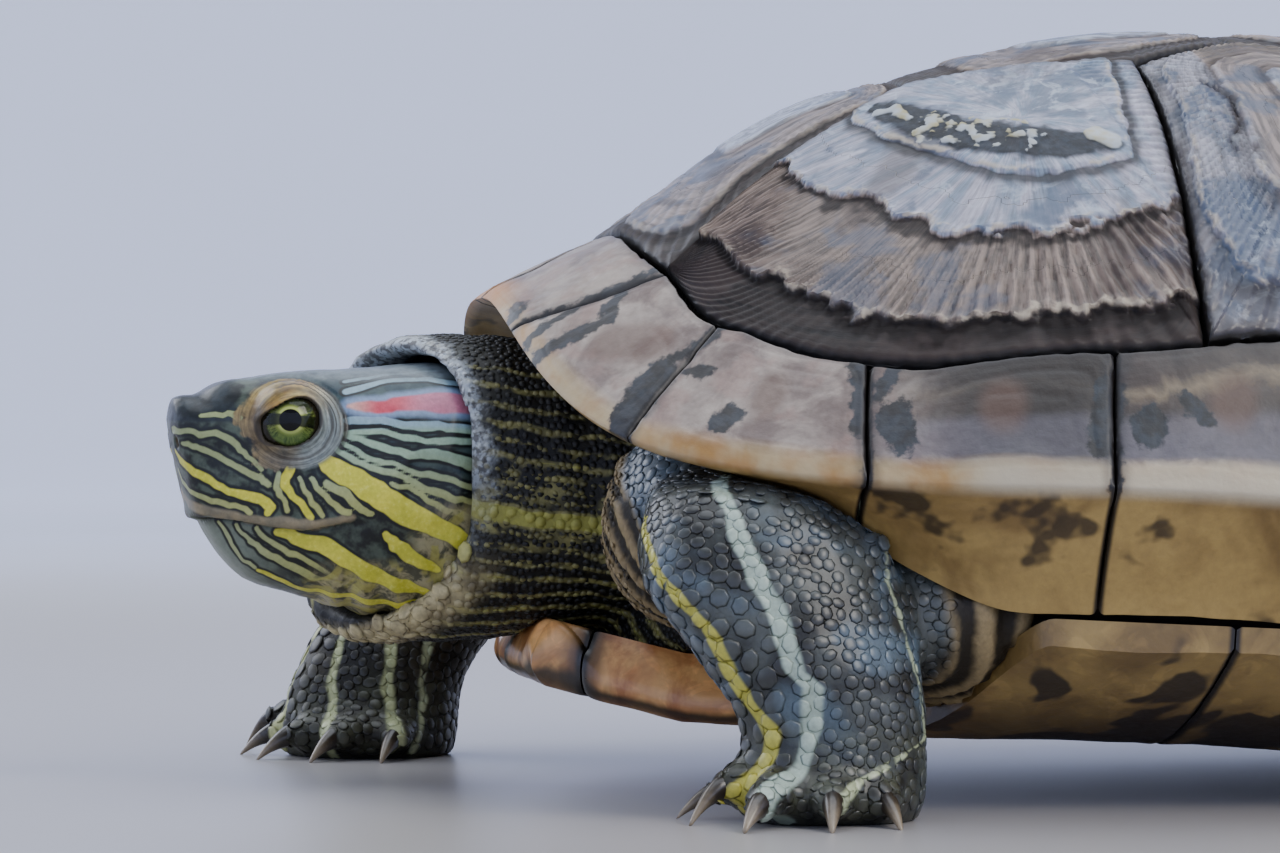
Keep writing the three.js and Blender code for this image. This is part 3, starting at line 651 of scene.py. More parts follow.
def second_costal(u, v, wide, long, front, height, fields):
    """What only the second left costal has: a crack, and a raised front band."""
    crack = from_line(u, v, CRACK, wide.mean(), long.mean())
    height -= 0.5 * np.exp(-((crack / 0.3) ** 2))
    fields["edge"] = np.minimum(fields["edge"], 0.5 + crack)
    height += 0.8 * (1 - smooth(v * long, 5, 16)) * smooth(u, 0.03, 0.2)
    fields["lift"] = mix(fields["lift"], 1.25, front)


def costal_relief(index, side):
    """Gives the relief and the fields of a costal plate."""
    near_side = side > 0
    worn = 1.0 if index == 0 and near_side else 0.6 if index == 1 and near_side else 0.35
    layer_heights = np.array((0.75, 0.5, 0.45)) * (0.4 + 0.6 * worn)
    rib_pitch = 2.2 if index == 0 else 1.9

    def relief(u, v, spot, wide, long):
        g, ray = growth(u, v, COSTAL_CENTRES[index], wide.mean(), long.mean())
        edge = border(u, v, wide, long)
        layers = costal_layers(index, side, u, v, g, wide.mean(), long.mean(), spot)
        lift = sum(height * smooth(layer, -0.12, 0.3) for layer, height in zip(layers, layer_heights))
        curled = sum(0.3 * worn * bump(layer, 0.5, 0.6) for layer in layers[:2])
        rib = np.sin(2 * np.pi * ray / rib_pitch + 1.3 * noise(spot, 5, 21))
        front = 1 - smooth(v * long, 11, 15)
        ribbed = smooth(g, 0.45, 0.75) if index == 0 else np.maximum(0.5 * smooth(g, 0.55, 0.9), front)
        bands = smooth(wave(g * 13 + 0.5 * noise(spot, 9, 22)), 0.55, 0.95) * smooth(g, 0.3, 0.5)
        ribbed = ribbed * (1 - worn * (0.5 * (1 - smooth(lift, 0.1, 0.4)) + 0.8 * smooth(lift, 0.95, 1.25)))
        height = lift + curled + (0.16 + 0.1 * worn) * ribbed * rib - 0.14 * bands * (1 - 0.8 * worn)
        height += 0.5 * noise(spot, 17, 23) + 0.12 * noise(spot, 4.5, 24) + 0.06 * noise(spot, 1.2, 25)
        none = np.full(u.shape, UNMARKED)
        fields = {"lift": lift, "rim": nearest_edge(layers), "edge": edge, "rib": rib * ribbed,
                  "grow": g * long.mean(), "round": ray, "crust": none, "fleck": none,
                  "worn": np.full(u.shape, worn)}
        if index == 0 and near_side:
            first_costal(u, v, wide, long, spot, height, fields)
        if index == 1 and near_side:
            second_costal(u, v, wide, long, front, height, fields)
        height -= rounded(edge + 0.25 * noise(spot, 1.6, 26), 1.25, 1.1)
        return height, fields
    return relief


def vertebral_relief(index):
    """Gives the relief and the fields of a vertebral plate, which has a low keel."""
    def relief(u, v, spot, wide, long):
        g, ray = growth(u, v, VERTEBRAL_CENTRE, wide.mean(), long.mean())
        edge = border(u, v, wide, long)
        ragged = 0.8 * rough(spot, 3.5, 51) + 0.4 * noise(spot, 1.2, 52)
        drift = 0.16 * noise(spot, 18, 53 + index)
        layers = [(level + drift - g) * 0.45 * long.mean() + 0.35 * ragged for level in (0.82, 0.5)]
        lift = 0.45 * smooth(layers[0], -0.15, 0.35) + 0.35 * smooth(layers[1], -0.15, 0.35)
        rib = np.sin(2 * np.pi * ray / 2.3 + 1.3 * noise(spot, 5, 54)) * smooth(g, 0.5, 0.8)
        rings = smooth(wave(g * 8 + 0.5 * noise(spot, 9, 55)), 0.5, 0.95)
        height = lift + 0.12 * rib - 0.12 * rings * smooth(g, 0.3, 0.5) + 0.5 * noise(spot, 15, 56)
        height += 0.12 * noise(spot, 4, 57) + 0.06 * noise(spot, 1.2, 58)
        height += 0.5 * bump((u - 0.5) * wide, 0, 5) * (1 - g)
        height -= rounded(edge + 0.25 * noise(spot, 1.6, 59), 1.25, 1.1)
        none = np.full(u.shape, UNMARKED)
        return height, {"lift": 0.35 + 1.4 * lift, "rim": nearest_edge(layers), "edge": edge, "rib": rib,
                        "grow": g * long.mean(), "round": ray, "crust": none, "fleck": none,
                        "worn": np.full(u.shape, 0.3)}
    return relief


def dome_plate(name, plan, relief, side, rows):
    """A plate of the dome: its worked face, its walls and a plain underside."""
    across, along = rows
    under = 4
    top_u, v = spaced(across), spaced(along)
    loop_u = np.concatenate((top_u, np.linspace(1, 0, under + 1), (0,)))
    depth = np.concatenate((np.zeros(across + 1), np.full(under + 1, SCUTE), (0,)))

    def form(_a, _b):
        u, vv = np.meshgrid(top_u, v, indexing="ij")
        x, y = plan(u, vv)
        spot = join(side * x, y, dome_height(x, y))
        wide, long = lengths(under_dome(x, y, np.zeros(x.shape)))
        height, fields = relief(u, vv, spot, wide, long)
        x, y = plan(*np.meshgrid(loop_u, v, indexing="ij"))
        down = depth[:, None] + np.zeros(x.shape)
        down[:across + 1] = -height
        down[-1] = -height[0]
        points = under_dome(x, y, down)
        points[..., 0] *= side
        # walls and underside carry the fields of the border they start from
        whole = {key: np.concatenate((values, np.repeat(values[-1:], under + 1, 0), values[:1]))
                 for key, values in fields.items()}
        return in_world(points), whole

    mesh = grid_mesh(name + "_plate", across + under + 2, along, form)
    settle(name + "_plate", mesh, shell_horn, (name,))


# Blotches on the front marginals: rows of places in plan, and the half width of the mark there.
BLOTCHES = (
    (((35.7, -110.6), (36.2, -107.8), (36.3, -104.8)), 1.5),
    (((37.1, -102.5), (34.6, -101.9), (33.3, -99.9)), 1.1),
    (((53.6, -102.0), (51.0, -99.0), (50.3, -96.7)), 2.3),
    (((50.0, -97.5), (49.4, -95.0), (49.8, -91.5), (49.6, -89.3)), 1.1),
    (((31.9, -112.5), (31.2, -108.4), (30.6, -103.8), (32.3, -99.3), (32.7, -95.3)), 0.9),
    (((24.2, -113.3), (22.3, -112.3)), 1.5),
    (((52.6, -93.4), (54.4, -91.6)), 1.1),
    (((62.0, -91.0), (61.6, -89.4)), 1.6),
    (((64.5, -73.9), (67.0, -74.0), (70.6, -74.6)), 1.7),
    (((68.3, -71.9), (66.0, -70.0)), 1.2),
    (((79.9, -46.0), (77.6, -45.0), (75.0, -44.0)), 2.0),
    (((77.3, -35.0), (79.0, -33.0)), 1.4),
)
BLOTCHED = (0, 1, 2, 3, 4)
STAIN, STAIN_HALF = ((41.3, -101.9), (43.0, -99.8), (45.3, -97.7)), 3.4
# How much darker each marginal is than the palest one.
RIM_SHADE = (0, 0, 0, 1.9, 0.15, 0.45, 0.3, 0.4, 0.2, 0.3, 0.1, 0.2, 0)
# The dark mark on each marginal from the fourth: its place across and along the plate, size and stretch.
REAR_MARKS = {3: (0.62, 0.12, 2.6, 1.6), 4: (0.6, 0.14, 2.4, 1.5), 5: (0.55, 0.1, 2.8, 1.9),
              6: (0.66, 0.18, 2.1, 1.3), 7: (0.5, 0.08, 3.1, 2.1), 8: (0.7, 0.2, 2.4, 1.2),
              9: (0.45, 0.12, 2.7, 2.4), 10: (0.6, 0.3, 2, 1.2), 11: (0.5, 0.16, 3, 1.7)}
NOSE_SHARE = 0.085  # how much of a marginal's face turns down over its rounded rim
NOSE_LEVEL = 0.42  # where the middle of that rim lies between its lower and upper face
SEAM_HALF = 0.5  # half width of the dark line beside a marginal's seams


def near_row(points, row, side=1):
    """Millimetres from a row of places in plan, measured over the dome."""
    x, y = np.array(row, float).T
    line = join(side * x, y, dome_height(x, y))
    best = np.full(points.shape[:-1], 1e9)
    for start, end in zip(line, line[1:]):
        run = end - start
        t = np.clip(((points - start) @ run) / (run @ run), 0, 1)
        best = np.minimum(best, np.linalg.norm(points - start - t[..., None] * run, axis=-1))
    return best


def rim_blotches(index, side, spot, u, v, wide, long):
    """Millimetres inside the dark marks and the brown stain of a marginal."""
    blotch = SEAM_HALF - np.minimum(u, 1 - u) * long
    for row, half in BLOTCHES if index in BLOTCHED else ():
        blotch = np.maximum(blotch, half - near_row(spot, row, side))
    if index in REAR_MARKS:
        across, along, size, stretch = REAR_MARKS[index]
        mark = np.hypot((v - across) * wide / stretch, (u - along) * long) + 0.9 * noise(spot, 3.5, 69)
        blotch = np.maximum(blotch, size - mark)
    if index > 1:
        return blotch, 2.8 - np.hypot((v - 0.45) * wide / 1.4, (u - 0.55) * long)
    return blotch, STAIN_HALF - near_row(spot, STAIN, side) if index == 1 else np.full(v.shape, UNMARKED)


def marginal_plate(name, index, side, rows):
    """A marginal plate: a worked face, a rounded rim and the underside that meets the bridge or the skin."""
    top, under, along = rows
    down = 1 - (1 - np.linspace(0, 1, top + 1)) ** 1.5
    down = 0.5 * down + 0.5 * spaced(top, 0.8)
    back = np.linspace(1, 0, under + 1) ** 0.75
    loop_v = np.concatenate((down, back[1:], (0,)))
    face = np.concatenate((np.ones(top + 1), np.zeros(under), (1,)))
    if index < 0:
        ring = rim = (-RIM_SEAMS[0] + FINE, RIM_SEAMS[0] - FINE)
    else:
        ring = (RING_SEAMS[index] + FINE, RING_SEAMS[index + 1] - FINE)
        rim = (RIM_SEAMS[index] + FINE, RIM_SEAMS[index + 1] - FINE)

    def form(_a, _b):
        v, u = np.meshgrid(loop_v, spaced(along), indexing="ij")
        is_top = np.broadcast_to(face[:, None], v.shape) > 0.5
        ring_angle, rim_angle = mix(*ring, u), mix(*rim, u)
        x, y = marginal_plan(ring_angle, rim_angle, v)
        high = dome_height(x, y)
        low = rim_height(rim_angle) - mix(marginal_drop(x, y), RIM_NOSE, v**0.8)
        shape = join(x, y, high)
        spot = join(side * x, y, high)
        long = np.linalg.norm(np.diff(shape[top], axis=0), axis=-1).sum()
        wide = lengths(shape[:top + 1])[0]
        beside = np.minimum(u, 1 - u) * long
        edge = np.minimum(beside, v * wide)
        g = growth(v, u, (0.72, 0.7), wide.mean(), long)[0]
        rings = smooth(wave(g * 4.5 + 0.5 * noise(spot, 8, 61)), 0.4, 0.95)
        relief = 0.35 * noise(spot, 9, 62) + 0.1 * noise(spot, 3, 63) + 0.04 * noise(spot, 1.1, 64)
        relief += -0.1 * rings * smooth(g, 0.3, 0.5) + 0.35 * bump(g, 0.55, 0.35)
        relief -= rounded(edge + 0.2 * noise(spot, 1.6, 65), 1.1, 0.9)
        relief_low = 0.5 * noise(spot, 11, 66) + 0.1 * noise(spot, 3, 67) + rounded(beside, 0.8, 0.9)
        nose = np.sqrt(1 - (1 - np.clip((1 - v) / NOSE_SHARE, 0, 1)) ** 2)
        high, low = high + relief * nose, low + relief_low * smooth(1 - v, 0, 0.3)
        middle = mix(low, high, NOSE_LEVEL)
        z = np.where(is_top, mix(middle, high, nose), mix(middle, low, nose))
        blotch, stain = rim_blotches(index, side, spot, u, v, wide, long)
        fields = {"under": np.where(is_top, 0, 1) * smooth(1 - v, -0.02, 0.1), "edge": edge, "beside": beside,
                  "blotch": blotch, "stain": stain, "nose": 1 - v, "grow": v * wide, "round": u * long,
                  "shade": np.full(v.shape, RIM_SHADE[index], float),
                  "bridge": along_bridge(y, (-78, -55), (45, 62)),
                  "front": 1 - smooth(np.abs(ring_angle), 0.1, 0.42)}
        return in_world(join(side * x, y, z)), fields

    mesh = grid_mesh(name + "_plate", top + under + 1, along, form)
    settle(name + "_plate", mesh, rim_horn, (name,))


# ---- plates of the plastron

GULARS, ANALS = 0, 5
MIDLINE_EASE = 0.15  # the midline is grooved as if it lay this far inside an edge


def plastron_plate(index, rows):
    """A pair of plastron plates: outer face, rounded lip and the inner face, closed all round."""
    across, along = rows
    name = PLASTRON_NAMES[index]
    bridged = index in (2, 3)
    tipped = index in (GULARS, ANALS)
    top = across if tipped else 20
    face = np.concatenate((np.zeros(across + 1), np.ones(top + 1), (0,)))
    loop = np.concatenate((spaced(across, 0.7), spaced(top, 0.7)[::-1], (0,)))

    def form(_a, _b):
        u, v = np.meshgrid(loop, spaced(along, 0.7 if tipped else 0.4), indexing="ij")
        upper = np.broadcast_to(face[:, None], u.shape) > 0.5
        side, step = np.sign(u - 0.5), np.abs(2 * u - 1)
        out = step if bridged else 1 - (1 - step) ** 1.6
        front = mix(MIDLINE_SEAMS[index], EDGE_SEAMS[index], out) + SEAM
        rear = mix(MIDLINE_SEAMS[index + 1], EDGE_SEAMS[index + 1], out) - SEAM
        y = mix(front, rear, v)
        x = side * out * plastron_edge(y)
        low = plastron_face(x, y)
        high = low + plastron_thickness(x, y)
        spot = join(x, y, low)
        rim = (1 - out) * plastron_edge(y)
        seams = np.minimum(y - front, rear - y)
        if index == GULARS:
            rim, seams = np.minimum(rim, y - front), rear - y
        if index == ANALS:
            rim, seams = np.minimum(rim, rear - y), y - front
        closing = 1.0 if bridged else np.sqrt(1 - (1 - np.clip(rim / 2.6, 0, 1)) ** 2)
        edge = np.minimum(seams, np.abs(x) + MIDLINE_EASE)
        groove = rounded(edge + 0.1 * noise(spot, 2, 71), 0.7, 0.8)
        relief = 0.35 * noise(spot, 16, 72) + 0.1 * noise(spot, 4, 73) + 0.04 * noise(spot, 1.3, 74)
        low = low - relief + groove
        middle = mix(low, high, 0.5)
        z = np.where(upper, mix(middle, high - groove * 0.6, closing), mix(middle, low, closing))
        fields = {"edge": edge, "lip": rim, "bridge": np.clip((np.abs(x) - BRIDGE_FOOT) / 30, 0, 1),
                  "along": y, "rise": (z - low) / np.maximum(high - low, 0.1)}
        return in_world(join(x, y, z)), fields

    mesh = grid_mesh(name + "_plate", across + top + 2, along, form)
    settle(name + "_plate", mesh, breast_horn, (name,))


# ---- finishes of the shell


def shell_horn_paint(w):
    lift, rim, edge, rib, grow, ray, crust, worn = w.fields("lift rim edge rib grow round crust worn")
    lines = w.grain(2.2, 4, w.stretched(grow, ray * 0.12), 0.6)
    cloud = w.grain(0.013, 4, None, 0.6, 0.4)
    fine = w.grain(0.0016, 4)
    flaked = worn.step(0.5, 0.9)
    streaks = w.grain(0.9, 4, w.stretched(ray, grow * 0.1), 0.6)
    radial = flaked * lift.step(0.3, 0.6) * 0.85
    lines = lines * (1 - radial) + streaks * radial
    calm = flaked * lift.step(1.0, 1.25) * 0.6
    lines = lines * (1 - calm) + calm * 0.5
    colour = w.node("ValToRGB", {"stops": (
        (0.0, 0x211A16), (0.22, 0x2C2420), (0.37, 0x62554A), (0.5, 0x75675E),
        (0.64, 0x757074), (0.85, 0x858B96), (1.0, 0x7C8B9B))}, {0: lift / 1.8})
    # pale mauve horn on the worn top layers, with blue patches that are painted reflection of the sky
    broad = w.grain(5.5, 3, w.stretched(ray, grow * 0.3), 0.5)
    mauve_and_sky_sheen = broad.step(0.36, 0.64).tint(0x5B6D80, 0x9A95A0)
    mauve_and_sky_sheen = (broad.step(0.55, 0.75) * 0.8).tint(mauve_and_sky_sheen, 0xA6A8B3)
    colour = (flaked * lift.step(0.95, 1.2) * 0.75).tint(colour, mauve_and_sky_sheen)
    pale = colour.bright(1.9)
    dark = colour.bright(0.42)
    colour = (lines.step(0.36, 0.62) * 0.75 + fine * 0.25).tint(dark, pale)
    # rib crests lighter as painted highlight, their troughs darker as painted shade
    colour = ((rib * 0.5 + 0.5) * 0.55).tint(colour, colour.bright(1.5))
    colour = ((0.5 - rib * 0.5) * 0.6).tint(colour, colour.bright(0.55))
    # dark blue patches on the worn layers: painted reflection of the sky
    slate = cloud.step(0.5, 0.6) * lift.step(0.2, 1.2) * 0.8
    colour = slate.tint(colour, 0x3E5068)
    glint = w.grain(0.0045, 4, None, 0.65, 0.6).step(0.55, 0.66) * lift.step(0.9, 1.5) * 0.55
    colour = glint.tint(colour, 0xBFC8D2)
    brown = w.grain(0.019, 3, None, 0.5, 0.6).step(0.56, 0.66) * 0.6
    colour = brown.tint(colour, 0x3B2D28)
    scale = crust.step(-0.6, 0.4)
    flake = w.grain(0.0021, 4, None, 0.65).step(0.44, 0.62)
    crusted = flake.tint(0x0B0D0F, 0x222932)
    colour = (scale * 0.95).tint(colour, crusted)
    fleck = w.field("fleck").step(-0.1, 0.25)
    chalk = w.grain(0.005).step(0.42, 0.62).tint(0xB9C0C3, 0xB5AC80)
    colour = (fleck * 0.9).tint(colour, chalk)
    # painted shadow on the lower layer just outside each worn layer's edge
    shadow_under_layer = rim.step(-2.1, -0.7) * (1 - rim.step(-0.25, 0.1))
    colour = (shadow_under_layer * 0.85 * worn).tint(colour, 0x17110E)
    torn = rim.step(0.0, 0.25) * (1 - rim.step(0.4, 1.1)) * w.grain(0.003).step(0.44, 0.58)
    colour = (torn * 0.6 * worn).tint(colour, 0xCBBDA4)
    colour = ((1 - edge.step(0.6, 2.4)) * 0.6).tint(colour, 0x352B26)
    colour = (1 - edge.step(0.1, 0.8)).tint(colour, 0x14110F)
    gloss = 0.3 + fine * 0.22 + lines * 0.12 + shadow_under_layer * 0.3 + scale * 0.2 + lift.step(0.45, 0.2) * 0.25
    pits = w.relief(lines + fine * 0.6, 0.00022, 0.6)
    wet = lift.step(0.9, 1.4) * (1 - scale) * 0.3 + 0.1
    return {"Base Color": colour, "Roughness": gloss, "Normal": pits, "Coat Weight": wet,
            "Coat Roughness": 0.18, "Specular IOR Level": 0.4}


def rim_horn_paint(w):
    under, edge, beside, blotch, stain = w.fields("under edge beside blotch stain")
    nose, grow, ray, bridge, front = w.fields("nose grow round bridge front")
    cloud = w.grain(0.009, 4, None, 0.6, 0.5)
    fine = w.grain(0.0012, 4)
    colour = cloud.step(0.36, 0.64).tint(0x6F5F57, 0xA39689)
    colour = (w.grain(0.006, 3, None, 0.5).step(0.5, 0.64) * 0.5).tint(colour, 0x94796D)
    # bands along the rim: dark, cream, dark, grey and cream again
    drift = 1 - nose + (cloud - 0.5) * 0.5 + (w.grain(0.03) - 0.5) * 0.3
    bands = w.node("ValToRGB", {"stops": (
        (0.06, 0x191410), (0.18, 0x2B231D), (0.28, 0x7C6D52), (0.37, 0x32281F),
        (0.48, 0x1A1513), (0.58, 0x332F34), (0.84, 0x413F47), (0.93, 0xB9AD93))}, {0: drift})
    across = w.grain(0.0095, 3, None, 0.5).step(0.42, 0.62)
    bands = (across * 0.5).tint(bands, bands.bright(0.45))
    colour = (bridge.step(0.0, 1.0) * 0.85).tint(colour, bands)
    colour = (w.field("shade") * bridge * 0.5).tint(colour, 0x1E140C)
    # faint pale lilac on the outer face along the bridge: partly the horn's lilac streak, partly painted sky
    # highlight
    outer = nose.step(0.52, 0.4) * bridge.step(0.0, 0.3)
    colour = (outer * 0.15).tint(colour, 0xA9A6B4)
    colour = ((fine - 0.5) * 1.2 + 0.5).tint(colour.bright(0.75), colour.bright(1.22))
    colour = (stain.step(-1.4, 1.2) * 0.6).tint(colour, 0x5F4638)
    smudge = blotch + (w.grain(0.0016, 4) - 0.5) * 3.2 + (cloud - 0.5) * 2
    slate = smudge.step(-0.35, 0.4)
    inky = w.grain(0.003, 3).step(0.4, 0.62).tint(0x090B0E, 0x1F2831)
    colour = (slate * 0.94).tint(colour, inky)
    gold = nose.step(0.17, 0.02) * (1 - slate)
    colour = (gold * 0.75).tint(colour, w.grain(0.007).step(0.35, 0.65).tint(0xB08238, 0xBFA878))
    colour = (gold * bridge.step(0.6, 1.0) * 0.8).tint(colour, 0xBBB29C)
    colour = (front * nose.step(0.3, 0.05) * 0.9).tint(colour, 0xC98324)
    patch = w.grain(0.014, 3, None, 0.5, 0.7)
    below = patch.step(0.35, 0.6).tint(0xBA9B5C, 0x8C7040)
    below = (w.grain(0.011, 3, None, 0.55).step(0.55, 0.62) * 0.85).tint(below, 0x2C2119)
    below = fine.tint(below.bright(0.8), below.bright(1.2))
    colour = under.tint(colour, below)
    soft = (1 - beside.step(0.5, 2.2)).most(1 - edge.step(0.4, 1.8)) * (1 - under)
    colour = (soft * 0.45).tint(colour, 0x2C2B2E)
    seam = (1 - beside.step(0.15, 0.75)).most((1 - edge.step(0.15, 0.7)) * (1 - under))
    colour = (seam * 0.95).tint(colour, 0x191513)
    gloss = 0.33 + fine * 0.2 + slate * 0.05
    ridges = fine + w.grain(2.6, 3, w.stretched(grow, ray * 0.07), 0.5)
    return {"Base Color": colour, "Roughness": gloss, "Normal": w.relief(ridges, 0.00018, 0.5),
            "Coat Weight": 0.12, "Coat Roughness": 0.22, "Specular IOR Level": 0.4}


def breast_horn_paint(w):
    edge, lip, bridge, along, rise = w.fields("edge lip bridge along rise")
    cloud = w.grain(0.012, 4, None, 0.55, 0.5)
    fine = w.grain(0.0014, 4)
    front = along.step(-50, -80)
    body = cloud.step(0.35, 0.65).tint(0xA68A50, 0x7D6438)
    body = (bridge.step(0.75, 0.3) * 0.5).tint(body, 0x4A3B26)
    lobe = w.grain(0.008, 4, None, 0.6, 0.6).step(0.36, 0.64).tint(0xB06F3A, 0xE2AA66)
    colour = front.tint(body, lobe)
    colour = (w.grain(0.0045, 3, None, 0.5, 1.2).step(0.52, 0.62) * 0.4).tint(colour, colour.bright(1.5))
    dark = w.grain(0.017, 3, None, 0.5, 0.5).step(0.53, 0.58) * (1 - front * 0.7)
    colour = (dark * 0.9).tint(colour, 0x231A15)
    colour = ((1 - edge.step(0.8, 3.2)) * front * 0.8).tint(colour, 0x2A1B14)
    colour = fine.tint(colour.bright(0.85), colour.bright(1.15))
    # painted shade darkens the lower part of the front lobe's lip, where its face turns under
    keel = (rise + (cloud - 0.5) * 0.4).step(0.42, 0.2) * lip.step(3.5, 0.5) * front
    colour = (keel * 0.9).tint(colour, 0x1B1A14)
    colour = (1 - edge.step(0.25, 1.0)).tint(colour, 0x17110D)
    gloss = 0.3 + fine * 0.2 - front * 0.08
    return {"Base Color": colour, "Roughness": gloss, "Normal": w.relief(fine + cloud, 0.0002, 0.5),
            "Coat Weight": 0.3, "Coat Roughness": 0.2}


def bone_paint(w):
    cloud = w.grain(0.006, 4)
    colour = cloud.tint(0x1C1613, 0x3A2D25)
    return {"Base Color": colour, "Roughness": 0.6 + cloud * 0.2, "Normal": w.relief(cloud, 0.0006, 0.7)}


shell_horn = finish("shell horn", shell_horn_paint)
rim_horn = finish("rim horn", rim_horn_paint)
breast_horn = finish("breast horn", breast_horn_paint)
inner_bone = finish("inner bone", bone_paint)

# ---- the shell

trunk_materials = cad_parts["trunk"].data.materials
trunk_materials.clear()
trunk_materials.append(inner_bone)

# Each plate's mesh is this many faces across and along, finer where the plate is worn or marked.
for index in range(5):
    relief = vertebral_relief(index)
    dome_plate(f"vertebral_{index + 1}", partial(vertebral_plan, index), relief, 1, (110, 84))
for side, word in ((1, "left"), (-1, "right")):
    for index in range(4):
        rows = {(1, 0): (230, 220), (1, 1): (180, 150)}.get((side, index), (120, 110))
        relief = costal_relief(index, side)
        dome_plate(f"costal_{word}_{index + 1}", partial(costal_plan, index), relief, side, rows)
    for index in range(12):
        rows = (56, 26, 66) if side > 0 and index < 6 else (36, 14, 36)
        marginal_plate(f"marginal_{word}_{index + 1}", index, side, rows)
marginal_plate("nuchal", -1, 1, (48, 12, 16))
for index in range(6):
    plastron_plate(index, (150, 60) if index < 4 else (110, 40))
# ---- the head

HEAD_YAW = math.radians(5)
SNOUT_Y, PIVOT_Y = -157, -108
HEAD_AXIS = 41  # the height of the head's and the neck's axis
EYE_RADIUS, LID_RADIUS, EYE_BACK, EYE_HEIGHT, EYE_SIDE = 5.1, 5.6, 15.8, 49.4, 8.4
ORBIT, ORBIT_HALF = (15.6, 49.25), (6.5, 6.0)  # distance behind the snout and height, and half sizes
# The slit between the lids: how far ahead of the eye's centre, half length, upper and lower half height, how
# much higher it is at the rear, and tilt.
SLIT_FORWARD, SLIT_HALF, SLIT_TALL, SLIT_LOW, SLIT_LEAN, SLIT_TILT = 0.85, 3.85, 3.0, 3.1, 0.95, 0.1
FOLD_PITCH = 0.085  # between the folds of the upper lid, as a share of the orbit
NOSTRIL = (0.95, 46.9)
EARDRUM = (33, 41.5)
HEAD_ROWS = (240, 178)  # faces round the head and along it
# The head's stations back from the snout: distance, top, bottom, half width.
HEAD_SHAPE = ((0, 52.3, 41, 3.4), (2.2, 53.6, 34, 6.6), (8, 55.3, 29.4, 9.6), (17, 56.8, 26.3, 12.6),
              (27, 57.3, 23.6, 15.4), (38, 57.8, 22.9, 16.8), (50, 56.5, 27, 15.5))
MOUTH = ((0, 36.4), (3.4, 36.5), (4.9, 36.7), (9.1, 36.2), (13.5, 35.3), (17, 35), (19.4, 35.5), (22.4, 36.1),
         (23.4, 36.4), (30, 36.6))
# Markings of one side: rows of distance behind the snout, height and half width.
BROAD = (
    ((18.4, 45.1, 0.69), (20.8, 43.3, 1.4), (23.7, 41.6, 1.56), (27.0, 39.4, 1.62), (30.1, 37.5, 1.62),
     (33.3, 35.9, 1.4), (35.8, 34.7, 1.25), (38.6, 33.1, 1.18), (42, 31.5, 1.1)),
    ((13.5, 34.5, 0.47), (16.0, 33.8, 0.93), (18.4, 33.2, 1.18), (21.2, 31.8, 1.31), (24.4, 30.0, 1.25),
     (27.6, 28.4, 1.18), (30.9, 27.3, 1.09), (33.9, 26.6, 0.78)),
    ((11.8, 29.7, 0.31), (14.3, 28.4, 0.44), (17.7, 27.2, 0.56), (20.9, 26.4, 0.62), (24.7, 25.7, 0.78),
     (28, 25.2, 0.69), (31.5, 24.9, 0.93), (34, 24.9, 0.78)),
    ((27.6, 34.7, 0.44), (28.9, 33.1, 0.81), (30.1, 32.0, 0.93), (32.5, 30.6, 0.81), (34.8, 29.5, 0.44)),
    ((0.9, 45.8, 0.37), (1.7, 43.9, 0.5), (3.3, 42.4, 0.5), (5.6, 41.2, 0.47), (8.1, 40.0, 0.47),
     (10.5, 39.4, 0.62), (12.3, 38.6, 0.69), (12.3, 37.6, 0.47)),
    ((14.9, 43.2, 0.62), (14.3, 41.8, 0.56), (14.9, 40.3, 0.5), (16.4, 38.7, 0.47), (17.9, 37.0, 0.44)),
)
